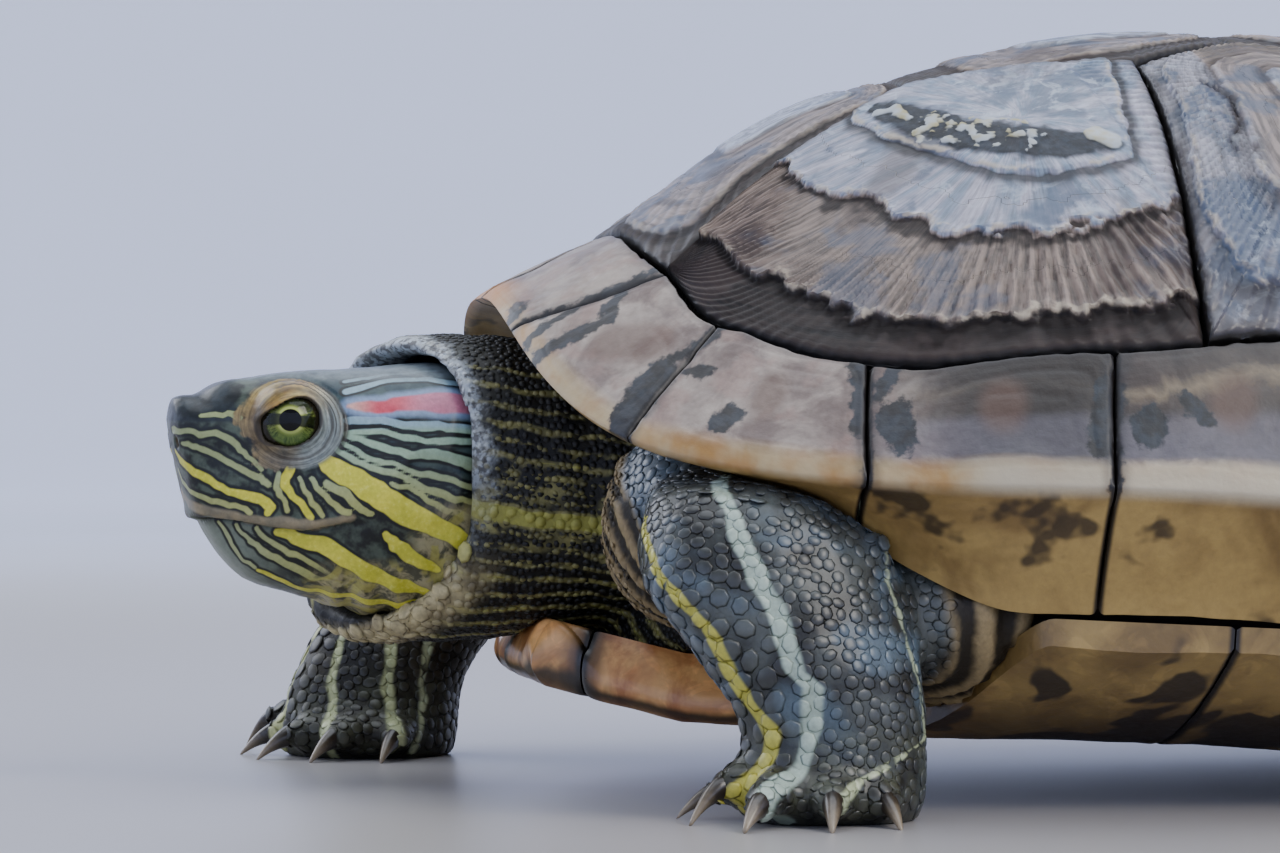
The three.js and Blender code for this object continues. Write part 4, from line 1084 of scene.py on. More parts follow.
NARROW = (
    ((9.9, 33.4, 0.25), (12.7, 31.6, 0.37), (15.4, 30.2, 0.5), (18.7, 28.7, 0.5), (21.8, 27.8, 0.47),
     (25.0, 27.0, 0.44)),
    ((5.8, 35.9, 0.19), (7.4, 33.4, 0.25), (9.0, 31.5, 0.25), (11.1, 30.1, 0.25)),
    ((7.8, 35.6, 0.19), (9.2, 34.1, 0.25), (11.4, 32.5, 0.25), (13.9, 30.9, 0.28), (17.0, 29.4, 0.25)),
    ((10.6, 35.0, 0.19), (12.4, 33.4, 0.25), (15.3, 31.9, 0.28), (18.1, 30.5, 0.31), (21.7, 28.7, 0.25)),
    ((3.8, 50.5, 0.22), (5.7, 50.6, 0.28), (7.7, 50.8, 0.37), (8.4, 50.3, 0.44)),
    ((0.5, 48.7, 0.37), (1.6, 48.4, 0.25), (3.5, 48.1, 0.28), (5.5, 48.1, 0.34), (7.3, 47.5, 0.37),
     (8.4, 46.2, 0.31), (9.9, 44.6, 0.25), (11.3, 43.3, 0.22)),
    ((1.5, 46.6, 0.25), (3.2, 46.4, 0.28), (4.9, 45.5, 0.31), (6.7, 44.3, 0.31), (8.7, 43.1, 0.31),
     (11.1, 42.0, 0.31), (12.3, 41.5, 0.25)),
    ((1.3, 43.3, 0.25), (2.2, 40.8, 0.28), (3.7, 39.6, 0.28), (5.6, 39.0, 0.25), (8.2, 38.4, 0.25),
     (9.9, 37.7, 0.25)),
    ((13.4, 42.8, 0.22), (13.4, 40.9, 0.25), (13.9, 39.4, 0.25), (14.7, 37.5, 0.25)),
    ((17.6, 42.0, 0.28), (19.0, 40.3, 0.31), (20.8, 38.4, 0.31), (22.4, 37.2, 0.31)),
    ((19.8, 41.5, 0.37), (22.2, 39.7, 0.5), (24.1, 38.1, 0.44), (25.3, 37.3, 0.31)),
    ((16.1, 42.0, 0.19), (16.9, 40.3, 0.22), (18.4, 38.4, 0.25), (19.4, 37.1, 0.25)),
    ((22.5, 50.0, 0.37), (25.4, 49.8, 0.44), (30.0, 49.2, 0.5), (34.5, 49.1, 0.56), (38.7, 48.6, 0.5),
     (44, 48.2, 0.5)),
    ((22.4, 48.4, 0.25), (25.4, 48.3, 0.28), (29.8, 47.4, 0.31), (34.4, 47.1, 0.31), (38.9, 47.0, 0.37),
     (44, 46.8, 0.4)),
    ((22.1, 47.8, 0.22), (24.7, 47.1, 0.28), (28.2, 45.8, 0.37), (31.4, 45.3, 0.44), (34.4, 45.1, 0.62),
     (38.7, 43.9, 0.69), (44, 43, 0.7)),
    ((21.7, 46.7, 0.19), (24.1, 45.5, 0.25), (27.0, 44.2, 0.25), (30.6, 43.2, 0.25), (34.4, 42.1, 0.31),
     (38.7, 40.8, 0.31), (44, 39.8, 0.3)),
    ((20.5, 46.3, 0.19), (23.1, 44.6, 0.25), (26.1, 43.1, 0.28), (29.5, 42.2, 0.28), (32.5, 40.9, 0.37),
     (35.6, 39.6, 0.37), (38.5, 39.0, 0.31), (44, 37.6, 0.3)),
    ((28, 41.3, 0.2), (31, 40.4, 0.25), (34, 38.6, 0.3), (38.5, 36.6, 0.3)),
    ((23.0, 53.7, 0.44), (26.1, 54.5, 0.44), (30.0, 55.3, 0.37), (34.0, 55.4, 0.44), (38, 54.8, 0.44)),
    ((23.0, 55.1, 0.25), (26.4, 55.6, 0.25), (29.6, 56.1, 0.25), (36, 56.6, 0.3)),
)
RED = (((22.7, 51.8, 0.25), (25.0, 51.6, 0.78), (28.1, 51.9, 1.0), (31.8, 52.3, 1.31), (34.8, 52.4, 1.62),
        (38.2, 52.0, 1.56), (42, 51.6, 1.2)),)
LIP = (((1.6, 40.0, 0.35), (2.6, 38.6, 0.6), (4.8, 37.7, 0.62), (8.2, 36.9, 0.62), (11.7, 36.2, 0.69),
        (15.0, 35.9, 0.75), (18.3, 35.9, 0.69), (21.1, 36.5, 0.44), (23.2, 36.8, 0.25)),)


def round_ends(s, start, end):
    """Rounds both ends of a loft off: 0 at s = 0 and s = 1, and 1 between."""
    first, last = np.minimum(1, s / start), np.minimum(1, (1 - s) / end)
    return np.sqrt(1 - (1 - first) ** 2) * np.sqrt(1 - (1 - last) ** 2)


def head_base(angle, back):
    """The plain form: across, distance behind the snout and height, before the head is turned."""
    station = curve(HEAD_SHAPE, back)
    behind, top, bottom, wide = (station[..., k] for k in range(4))
    ends = round_ends(back, 0.09, 0.2)
    middle, upright = (top + bottom) / 2, np.sin(angle)
    across = power(np.cos(angle), 0.8) * wide * ends
    high = np.where(upright > 0, power(upright, 0.78), power(upright, 0.92)) * (top - bottom) / 2 * ends
    slant = 0.17 * np.maximum(0, 50 - middle - high) * (1 - smooth(behind, 0, 14))
    return join(across, behind + slant, middle + high)


def turn_head(points):
    """Into the frame of the floor: the head is turned a little to its left."""
    x, y, z = points[..., 0], points[..., 1] + SNOUT_Y - PIVOT_Y, points[..., 2]
    c, s = math.cos(HEAD_YAW), math.sin(HEAD_YAW)
    return join(x * c - y * s, x * s + y * c + PIVOT_Y, z)


def even(measure, count):
    """Parameters at which a curve, whose points measure(t) gives, is cut into even lengths."""
    t = np.linspace(0, 1, 1500)
    run = np.concatenate(((0,), np.cumsum(np.linalg.norm(np.diff(measure(t), axis=0), axis=-1))))
    return np.interp(np.linspace(0, run[-1], count + 1), run, t)


def inside_marks(points, rows, seek):
    """Millimetres inside the nearest of some lines, whose half width changes along them. seek(row) gives a
    row's points in space and its half widths."""
    best = np.full(points.shape[:-1], -9.0)
    for row in rows:
        line, half = seek(row)
        for k in range(len(line) - 1):
            run = line[k + 1] - line[k]
            t = np.clip(((points - line[k]) @ run) / (run @ run + 1e-9), 0, 1)
            away = np.linalg.norm(points - line[k] - t[..., None] * run, axis=-1)
            best = np.maximum(best, mix(half[k], half[k + 1], t) - away)
    return best


def smoothed(row, per=3):
    """A row of stations cut finer along a smooth curve."""
    return curve(row, np.linspace(0, 1, (len(row) - 1) * per + 1))


def head_form(around, along):
    """The points of the head with its lids, nostrils, beak and folds, and the fields that its skin reads."""
    turn = even(lambda t: head_base(t * 2 * np.pi - np.pi / 2, np.full(t.shape, 0.55)), around) * 2 * np.pi
    # the rows are spaced evenly along the flank and the crown, on average
    back = 0.5 * even(lambda t: head_base(np.zeros(t.shape), t * 0.97), along) * 0.97
    back += 0.5 * even(lambda t: head_base(np.full(t.shape, np.pi / 2), t * 0.97), along) * 0.97
    back[-1] = 1
    angle, back = np.meshgrid(turn - np.pi / 2, back, indexing="ij")
    base = head_base(angle, back)
    normal = facing(base)
    outward = base - join(0, base[..., 1], HEAD_AXIS)
    normal = normal * np.sign((outward * normal).sum(-1)).mean()
    x, behind, high = base[..., 0].copy(), base[..., 1].copy(), base[..., 2].copy()
    side = np.where(x < 0, -1, 1)
    spot = join(np.abs(x), behind, high)

    flank = (base[..., 0] > 0).ravel()
    flat = spot.reshape(-1, 3)

    def seek(row):
        fine = smoothed(row)
        gap = np.hypot(flat[None, :, 1] - fine[:, 0, None], flat[None, :, 2] - fine[:, 1, None])
        gap = np.where(flank[None, :], gap, 1e3)
        return flat[gap.argmin(1)], np.maximum(fine[:, 2], 0.05)

    wavy = join(0.0 * x, 0.28 * noise(spot, 2.6, 101), 0.28 * noise(spot, 2.6, 102))
    wavy += join(0.0 * x, 0.1 * noise(spot, 0.9, 103), 0.1 * noise(spot, 0.9, 104))
    fields = {"broad": inside_marks(spot + wavy * 0.7, BROAD, seek),
              "narrow": inside_marks(spot + wavy, NARROW, seek) + 0.09,
              "red": inside_marks(spot + wavy, RED, seek),
              "lip": inside_marks(spot + wavy * 0.5, LIP, seek)}

    # the mouth: a beak that overhangs the lower jaw along a crease
    mouth = high - np.interp(behind, *np.array(MOUTH).T)
    gape = 1 - smooth(behind, 21.5, 25.5)
    set_back = 0.95 * smooth(-mouth, 0.0, 0.35) * (1 - smooth(-mouth, 1.5, 8))
    push = gape * (0.35 * bump(mouth, 0.7, 0.9) - set_back)
    push -= gape * 0.9 * bump(mouth, -0.2, 0.22)
    push -= 0.25 * bump(np.hypot(behind - 24.5, high - 36.2), 0, 1.6)

    # cheek, eardrum with its rim, jaw muscle, cheek hollow, snout, brow ridge and the hollow along the crown
    push += 0.9 * mound(behind, high, (25, 39.5), (7, 5))
    push -= 0.55 * mound(behind, high, EARDRUM, (3.4, 3.4))
    push += 0.35 * bump(np.hypot(behind - EARDRUM[0], high - EARDRUM[1]), 4.4, 1.2)
    push += 0.5 * mound(behind, high, (14, 31), (6, 3))
    push -= 0.7 * mound(behind, high, (6.5, 45.5), (4, 3.5))
    push -= 0.8 * mound(behind, high, (3.8, 54), (1.9, 2.2))
    push += 0.5 * mound(behind, high, (8.5, 54.5), (2.6, 1.8)) * smooth(np.abs(x), 1.5, 4)
    along_crown = smooth(high, 50, 54) * smooth(behind, 6, 10) * (1 - smooth(behind, 24, 32))
    push -= 0.5 * bump(x, 0, 2.6) * along_crown

    # folds of the throat and a fine pebbling
    throat = (1 - smooth(high, 27, 33)) * smooth(behind, 14, 24)
    fold = np.sin(2 * np.pi * (behind + 0.5 * high + 1.2 * noise(spot, 7, 105)) / 4.2)
    push += throat * (0.35 * fold + 0.3 * noise(spot, 2.4, 106))
    nape = smooth(behind, 27, 36) * (1 - smooth(high, 34, 42))
    push += nape * (0.22 * noise(spot, 1.6, 107) + 0.2 * noise(spot, 3.5, 108))
    push += 0.05 * noise(spot, 0.9, 109) + 0.12 * noise(spot, 4, 110)
    fields["throat"] = np.maximum(throat, 0.8 * nape)

    nostril = flat[np.where(flank, np.hypot(flat[:, 1] - NOSTRIL[0], flat[:, 2] - NOSTRIL[1]), 1e3).argmin()]
    hole = np.linalg.norm((spot - nostril) * (1, 1, 0.75), axis=-1)
    push -= 1.1 * bump(hole, 0, 0.42) - 0.18 * bump(hole, 0.95, 0.35)
    fields["nostril"] = hole

    # the orbit and its lids over the eyeball
    db, dz = behind - EYE_BACK, high - EYE_HEIGHT
    ring = np.hypot((behind - ORBIT[0]) / ORBIT_HALF[0], (high - ORBIT[1]) / ORBIT_HALF[1])
    ring = np.where(x != 0, ring, 9)
    over, back = dz - 0.1 - SLIT_TILT * (db + SLIT_FORWARD), (db + SLIT_FORWARD) / SLIT_HALF
    # the upper lid hangs lower toward the snout
    tall = np.where(over > 0, SLIT_TALL + SLIT_LEAN * np.clip(back, -1, 1), SLIT_LOW)
    slit = (np.abs(back) ** 1.75 + np.abs(over / tall) ** 2.1) ** 0.53 - 0.1 * bump(db, -4.3, 1.2)
    turned = np.arctan2(dz, db)
    on_side = smooth(np.abs(x), 3.0, 5.5)
    brow = 0.35 + 0.65 * smooth(np.cos(turned - 0.9), -0.6, 0.6)
    above = smooth(np.cos(turned - 0.9), -0.1, 0.55)
    push += (0.6 * bump(ring, 0.9, 0.15) - 0.4 * bump(ring, 1.08, 0.06) * above) * on_side * brow
    folds = 2 * np.pi * ring / FOLD_PITCH + 0.8 * noise(spot, 3, 113)
    folded = above * on_side * (1 - smooth(np.abs(ring - 0.94), 0.14, 0.2))
    push -= 0.16 * folded * smooth(np.cos(folds), 0.3, 0.9)
    on_lids = on_side * (1 - smooth(ring, 0.95, 1.1))
    puckers = wave(ring / 0.14 + noise(spot, 2.5, 111) / np.pi) * (0.9 + 0.5 * np.cos(turned - 3.7))
    push += on_lids * (smooth(slit, 1.15, 1.4) * 0.1 * puckers + 0.1 * noise(spot, 0.7, 112))

    x, behind, high = (base[..., k] + push * normal[..., k] for k in range(3))
    lid = EYE_SIDE + np.sqrt(np.maximum(LID_RADIUS**2 - db**2 - dz**2, 0.01))
    lid = np.where(db**2 + dz**2 < LID_RADIUS**2, lid, 0)
    # the larger of the two with a soft join; 12 only keeps the powers small
    cover = np.log(np.exp((np.abs(x) - 12) * 2.2) + np.exp((lid - 12) * 2.2)) / 2.2 + 12
    reach = (1 - smooth(ring, 0.8, 1.0)) * smooth(np.abs(x), 2.0, 4.0)
    wide = mix(np.abs(x), cover, reach)
    wide += 0.14 * bump(slit, 1.13, 0.08) * reach - 0.16 * bump(slit, 1.36, 0.08) * reach
    wide -= 0.14 * bump(slit, 1.62, 0.07) * reach * (0.5 - 0.5 * np.cos(turned - 2.2))
    well = (1 - smooth(slit, 0.93, 1.06)) * smooth(np.abs(x), 4, 7)
    wide = mix(wide, np.minimum(wide, EYE_SIDE + 2.2), well)
    x = np.where(np.abs(x) > 0.3, side * wide, x)
    fields["ring"], fields["slit"] = np.where(on_side > 0.05, ring, 9), np.where(on_side > 0.05, slit, 9)
    fields["behind"], fields["high"] = behind, high
    fields["lid_back"], fields["lid_up"] = np.cos(turned), np.sin(turned)
    fields["fold"] = folds
    return turn_head(join(x, behind, high)), fields
# ---- neck, limbs and tail

# The hood's stations back from its lip: distance, top, bottom, half width.
NECK_SHAPE = ((0, 61.3, 19.7, 20.2), (7, 61.6, 19.3, 21.6), (16, 61.2, 20.3, 23.6), (28, 62, 22, 29),
              (44, 66, 24, 38))
LIP_SKEW, LIP_MIDDLE, LIP_HALF = 0.36, 40.5, 20.8
LIP_FRONT = -124.7
# Rows of the hood's pocket and of its rolled lip, how far behind the snout the pocket ends, and how far
# behind its lip the hood ends.
POCKET_ROWS, ROLL_ROWS, POCKET_DEEP, HOOD_BACK = 10, 8, 43, 44
FLESH_CLEAR, SKIN_CLEAR = 0.3, 0.4  # how far flesh is formed off the plastron, and skin kept off it
FILLING_EDGE = 0.4  # the share of a filling's rows that its lower or its upper face takes
VOXEL = 1.28  # the size of the skin's faces
# Limbs, whose x is measured out from the middle. slices: level ovals from the top as x, y, z, half size
# across and half size along. foot: the middle of a cushion and its three half sizes. toes: root, tip and half
# thickness. claw: how long the claws stand out. lines: a row of height and turn round the limb in degrees,
# with its half width and how yellow it is.
LIMBS = {
    "front_left": {
        "side": 1, "slices": ((46, -84, 44, 15, 12), (58, -85.5, 39, 12.5, 14), (64, -84.5, 30, 11, 16.5),
                              (68.5, -80.5, 20, 10, 14), (70.5, -78, 12, 9, 11.6), (70, -78, 4, 10, 12),
                              (70, -78, -2, 9.5, 11)),
        "foot": (71, -80, 3.4, 11.5, 10.5, 5), "claw": 3.6,
        "toes": (((65, -86, 4.5), (66, -93.5, 3), 2.5), ((70, -86, 6.5), (74.5, -94, 4), 3),
                 ((76, -84.5, 5), (85.5, -90.5, 2.8), 3.1), ((77, -79, 5), (86, -81, 2.8), 3.1),
                 ((76, -74, 4.5), (83, -73, 2.6), 2.8)),
        "lines": ((((37, -82), (31, -66), (28, -55), (23.7, -52), (18.8, -56), (15, -56), (11, -47), (5, -60),
                    (2, -72)), 1.15, 1.0),
                  (((42, -30), (37.4, -21), (34, -18), (30.6, -12), (26, -10), (22.9, -11), (19, -17),
                    (17, -11), (14, -17), (10.8, -23), (6.6, -28), (1.7, -36)), 1.1, 0.1),
                  (((12, 84), (11, 81), (8.5, 38), (5.4, 4), (3, -8)), 0.8, 0.4),
                  (((40, 60), (30, 52), (20, 62), (12, 70)), 0.45, 0.3),
                  (((40, 165), (20, 150), (2, 150)), 0.8, 0.5),
                  (((40, -140), (20, -150), (2, -140)), 0.8, 0.5))},
    "front_right": {
        "side": -1, "slices": ((46, -84, 42, 14, 13), (55, -94, 37, 12, 14), (59, -107, 29, 11, 15),
                               (58, -117, 19, 10, 13.5), (56, -122, 11, 9.5, 13), (55, -123, 3, 10.5, 13),
                               (55, -123, -2, 9.5, 12)),
        "foot": (54, -124, 3.6, 12, 11.5, 5.4), "claw": 3.6,
        "toes": (((60, -130, 7), (66, -138, 5), 2.7), ((55, -131, 5), (57, -139, 3), 2.9),
                 ((49, -130, 5), (47, -137.5, 3), 3), ((46, -125, 5), (41, -131, 3), 3),
                 ((45, -119, 4.5), (39, -122, 2.8), 2.9)),
        "lines": ((((40, -95), (15.8, -93), (8, -94), (1.7, -93)), 0.8, 0.6),
                  (((40, -120), (17, -132), (8.6, -150), (1.3, -151)), 0.7, 0.5),
                  (((40, -165), (17.4, -170), (8.6, -186), (2, -187)), 0.7, 0.5),
                  (((40, -190), (17, -195), (8.5, -211), (2, -203)), 0.5, 0.4),
                  (((40, -40), (20, -30), (2, -36)), 0.9, 0.1), (((40, 40), (20, 50), (2, 40)), 0.7, 0.3))},
}
for word, side, y, reach, heading in (("left", 1, 88, 2, -0.45), ("right", -1, 78, 4, 0.35)):
    toes = []
    for place in (i / 3 - 0.5 for i in range(4)):
        ray, long = heading + 1.15 * place, 12 * (1 - 0.9 * place**2)
        base = (75 + reach + 10.5 * math.cos(ray), y + 3 + 10.5 * math.sin(ray) + 9.4 * place, 2.8)
        toes.append((base, np.array(base) + (long * math.cos(ray), long * math.sin(ray), -0.4), 3.1))
    LIMBS["hind_" + word] = {
        "side": side, "slices": ((42, y - 14, 31, 15, 14), (58, y - 9, 27, 14, 15),
                                 (68 + reach, y - 3, 20, 12, 14), (71 + reach, y + 3, 12, 10, 12.5),
                                 (71 + reach, y + 4, 4, 12, 13), (71 + reach, y + 4, -2, 11, 12)),
        "foot": (75 + reach, y + 3, 3.4, 15, 13.5, 5), "claw": 5.5, "toes": toes,
        "lines": ((((30, -70), (12, -60), (2, -40)), 0.8, 0.8), (((30, -10), (12, -5), (2, 0)), 0.9, 0.2),
                  (((30, 60), (12, 50), (2, 30)), 0.8, 0.6), (((30, 120), (12, 110), (2, 100)), 0.7, 0.7),
                  (((30, -150), (12, -140), (2, -140)), 0.8, 0.5))}
TAIL_SHAPE = ((0, 76, 22, 15, 11), (0, 92, 19, 11, 9), (-2, 106, 14.5, 7, 6.3), (-7, 118, 9.5, 4.6, 4.3),
              (-14, 127, 6.2, 2.8, 2.7), (-21, 132, 4.4, 1.3, 1.3))


def lip_at(across, up):
    """How far forward the hood's lip reaches at a place round it."""
    return LIP_FRONT - np.maximum(0, up) ** 2 - 7.5 * np.maximum(0, -up) ** 1.8 + LIP_SKEW * across


def hood(around, along):
    """The hood: a pocket round the back of the head, a rolled lip and the neck behind it."""
    angle = np.linspace(0, 2 * np.pi, around + 1)
    up = np.sin(angle)

    def outer(behind):
        share = np.interp(behind, [row[0] for row in NECK_SHAPE], np.linspace(0, 1, len(NECK_SHAPE)))
        _, top, bottom, wide = curve(NECK_SHAPE, np.full(up.shape, share)).T
        across = power(np.cos(angle), 0.92) * wide
        high = (top + bottom) / 2 + power(up, 0.92) * (top - bottom) / 2
        fade = 1 - smooth(behind, 4, 30)
        return join(across, mix(-112, lip_at(across, up), fade) + behind, high)

    front = outer(0.0)
    stations = np.linspace(0.02, 1, 300)
    reach = curve(HEAD_SHAPE, stations)[:, 0]
    above_chin = smooth(up, -0.4, 0.1)

    def inner(share):
        behind = mix(POCKET_DEEP, front[..., 1] - SNOUT_Y + 1.5, share)
        back = np.interp(np.clip(behind, 0, 50), reach, stations)
        grown = head_base(angle, np.minimum(back, 0.8))
        away = grown - (0, 0, HEAD_AXIS)
        away[..., 1] = 0
        clear = mix(0.5, -0.3 + 1.1 * above_chin, share) + 0.6 * np.maximum(0, up) * share
        grown = grown + unit(away) * clear[..., None]
        grown[..., 1] = behind
        return turn_head(grown)

    rows = [inner(k / POCKET_ROWS) for k in range(POCKET_ROWS + 1)]
    rows.insert(0, np.broadcast_to(rows[0].mean(0), rows[0].shape))
    near, far = rows[-1], outer(2.0)
    tip = (near + far) / 2
    forward = 0.5 * np.linalg.norm(far - near, axis=-1) + mix(0.3, 1.3, above_chin)
    for t in np.pi * np.arange(1, ROLL_ROWS) / ROLL_ROWS:
        rows.append(tip + (near - tip) * np.cos(t) + join(0, -forward, 0) * np.sin(t))
    rows += [outer(behind) for behind in np.linspace(2.0, HOOD_BACK, along)]
    rows.append(np.broadcast_to(rows[-1].mean(0), rows[-1].shape))
    return around, len(rows) - 1, np.stack(rows, axis=1)


def ringed(around, along, form):
    """A grid carried to form(angle, s), with the angle round it and s from 0 to 1 along it."""
    angle, s = np.meshgrid(np.linspace(0, 2 * np.pi, around + 1), np.linspace(0, 1, along + 1), indexing="ij")
    return around, along, form(angle, s)


def shell_filling(front):
    """The flesh that closes the shell over the neck, or over the tail."""
    def form(turn, s):
        angle = np.where(turn > np.pi, turn - 2 * np.pi, turn)
        free = smooth(np.abs(np.cos(angle)), 0.45, 0.8)
        reach = mix(seam_ring(angle) - 0.017, 0.8, free)
        share = reach * np.minimum(1, np.minimum(s / FILLING_EDGE, (1 - s) / FILLING_EDGE))
        x, y = on_ring(share, angle)
        roof = under_dome(x, y, np.full(x.shape, SCUTE + 1.2))
        lip = (LIP_THICK - PLASTRON_THICK) * lobe_at(y) * smooth(np.abs(x) / plastron_edge(y), 0.2, 0.55)
        low = join(x, y, plastron_face(x, y) + PLASTRON_THICK + lip + FLESH_CLEAR)
        rise = np.clip((s - FILLING_EDGE) / (1 - 2 * FILLING_EDGE), 0, 1)
        points = in_world(mix(low, roof, rise[..., None]))
        if front:
            points[..., 1] = np.minimum(points[..., 1], TRUNK_FRONT - SKIN_CLEAR)
        else:
            points[..., 1] = np.maximum(points[..., 1], TRUNK_REAR + SKIN_CLEAR)
        return points
    return ringed(120, 40, form)


def swell(centre, radii):
    """An egg-shaped swelling."""
    def form(angle, s):
        ring = np.sin(np.pi * s)
        return np.array(centre) + join(ring * np.cos(angle), ring * np.sin(angle), np.cos(np.pi * s)) * radii
    return ringed(36, 24, form)


def limb_parts(limb):
    """The forms of a limb: its trunk, the cushion of its foot and its toes."""
    side, foot = limb["side"], limb["foot"]

    def trunk(angle, s):
        station = curve(limb["slices"], s)
        x, y, z, across, along = (station[..., k] for k in range(5))
        ends = round_ends(s, 0.12, 0.08)
        return join(side * (x + across * np.cos(angle) * ends), y + along * np.sin(angle) * ends, z)

    parts = [ringed(64, 60, trunk), swell((side * foot[0], foot[1], foot[2]), foot[3:])]
    for base, tip, thick in limb["toes"]:
        base, tip = np.array(base) * (side, 1, 1), np.array(tip) * (side, 1, 1)
        run = tip - base
        sideways = np.array((-run[1], run[0], 0)) / math.hypot(run[0], run[1])

        def toe(angle, s, base=base, run=run, sideways=sideways, thick=thick):
            radius = thick * round_ends(s, 0.3, 0.3) * (1 + 0.08 * np.cos(s * 13) - 0.12 * s)
            across = (radius * np.cos(angle))[..., None] * sideways
            return base + s[..., None] * run + across + join(0, 0, 0.85 * radius * np.sin(angle))
        parts.append(ringed(20, 16, toe))
    return parts


def tail_form(angle, s):
    """The tail, whose rings lean back."""
    station = curve(TAIL_SHAPE, s)
    x, y, z, wide, high = (station[..., k] for k in range(5))
    ends = round_ends(s, 0.1, 0.12)
    rise = high * ends * np.sin(angle)
    return join(x + wide * ends * np.cos(angle), y + 0.4 * rise, z + rise)


def kept_clear(points):
    """Keeps skin under the carapace, over the plastron and on the floor."""
    local = in_shell(points)
    x, y, z = local[..., 0], local[..., 1], local[..., 2]
    share, angle = ring_of(x, y)
    signed = np.where(x < 0, -1, 1) * angle
    ring = seam_ring(signed)
    lift = 1 / np.maximum(dome_normal(x, y)[..., 2], 0.35)
    roof = dome_height(x, y) - (SCUTE + 0.5) * lift
    v = np.clip((share - ring) / (1 - ring), 0, 1)
    under_rim = rim_height(signed) - mix(marginal_drop(x, y), RIM_NOSE, v**0.8) - 0.7
    roof = np.where(share > ring - 0.004, np.minimum(roof, under_rim), roof)
    z = np.where(share < 1.004, np.minimum(z, roof), z)
    over = (y > PLASTRON_FRONT - SKIN_CLEAR) & (y < PLASTRON_REAR + SKIN_CLEAR)
    over &= np.abs(x) < plastron_edge(y) + SKIN_CLEAR
    face = plastron_face(x, y)
    top = face + plastron_thickness(x, y) + SKIN_CLEAR
    z = np.where(over & (z > face - 6), np.maximum(z, top), z)
    points = in_world(join(x, y, z))
    points[..., 2] = np.maximum(points[..., 2], 0)
    return points


def relax(bm, verts, rounds):
    """Evens out some points of a mesh."""
    for _ in range(rounds):
        bmesh.ops.smooth_vert(bm, verts=verts, factor=0.5, use_axis_x=True, use_axis_y=True, use_axis_z=True)


def blended(parts):
    """Melts closed forms into one closed skin of even faces."""
    forms = bpy.data.meshes.new("forms")
    with worked(forms) as whole:
        for around, along, points in parts:
            mesh = grid_mesh("form", around, along, lambda a, b: (points, {}))
            with worked(mesh) as bm:
                bmesh.ops.remove_doubles(bm, verts=bm.verts, dist=1e-6)
                bmesh.ops.recalc_face_normals(bm, faces=bm.faces)
            whole.from_mesh(mesh)
            bpy.data.meshes.remove(mesh)
    lump = bpy.data.objects.new("forms", forms)
    bpy.context.scene.collection.objects.link(lump)
    remesh = lump.modifiers.new("skin", "REMESH")
    remesh.mode, remesh.voxel_size, remesh.adaptivity = "VOXEL", VOXEL * MM, 0
    mesh = bpy.data.meshes.new_from_object(lump.evaluated_get(bpy.context.evaluated_depsgraph_get()))
    bpy.data.objects.remove(lump)
    with worked(mesh) as bm:
        relax(bm, bm.verts, 3)
    return mesh


def limb_turn(limb, points):
    """A limb's own measures at some points: distance from its axis (1 at its skin), turn and mean radius."""
    rows = np.array(limb["slices"], float)[::-1]
    cx, cy, wide, long = (np.interp(points[:, 2], rows[:, 2], rows[:, k]) for k in (0, 1, 3, 4))
    out, back = limb["side"] * points[:, 0] - cx, points[:, 1] - cy
    far = np.hypot(out / wide, back / long)
    foot = limb["foot"]
    # all that is low and near the foot belongs to the limb
    on_foot = np.hypot(limb["side"] * points[:, 0] - foot[0], points[:, 1] - foot[1]) < foot[3] + 14
    far = np.where((points[:, 2] < 11) & on_foot, np.minimum(far, 1), far)
    return far, np.arctan2(back / long, out / wide), 0.5 * (wide + long)


# The neck's stripes: millimetres up round it from the level of its axis, and half width.
NECK_LINES = ((-2.3, 2.0), (1.1, 0.35), (3.1, 0.45), (5.2, 0.4), (7.5, 0.5), (10, 0.35), (12.6, 0.45),
              (15.5, 0.4), (18.5, 0.5), (21.5, 0.35), (-5.4, 0.45), (-7.9, 0.6), (-10.6, 0.5), (-13.4, 0.65),
              (-16.5, 0.5), (-19.8, 0.7), (-23.2, 0.6), (-27, 0.7))


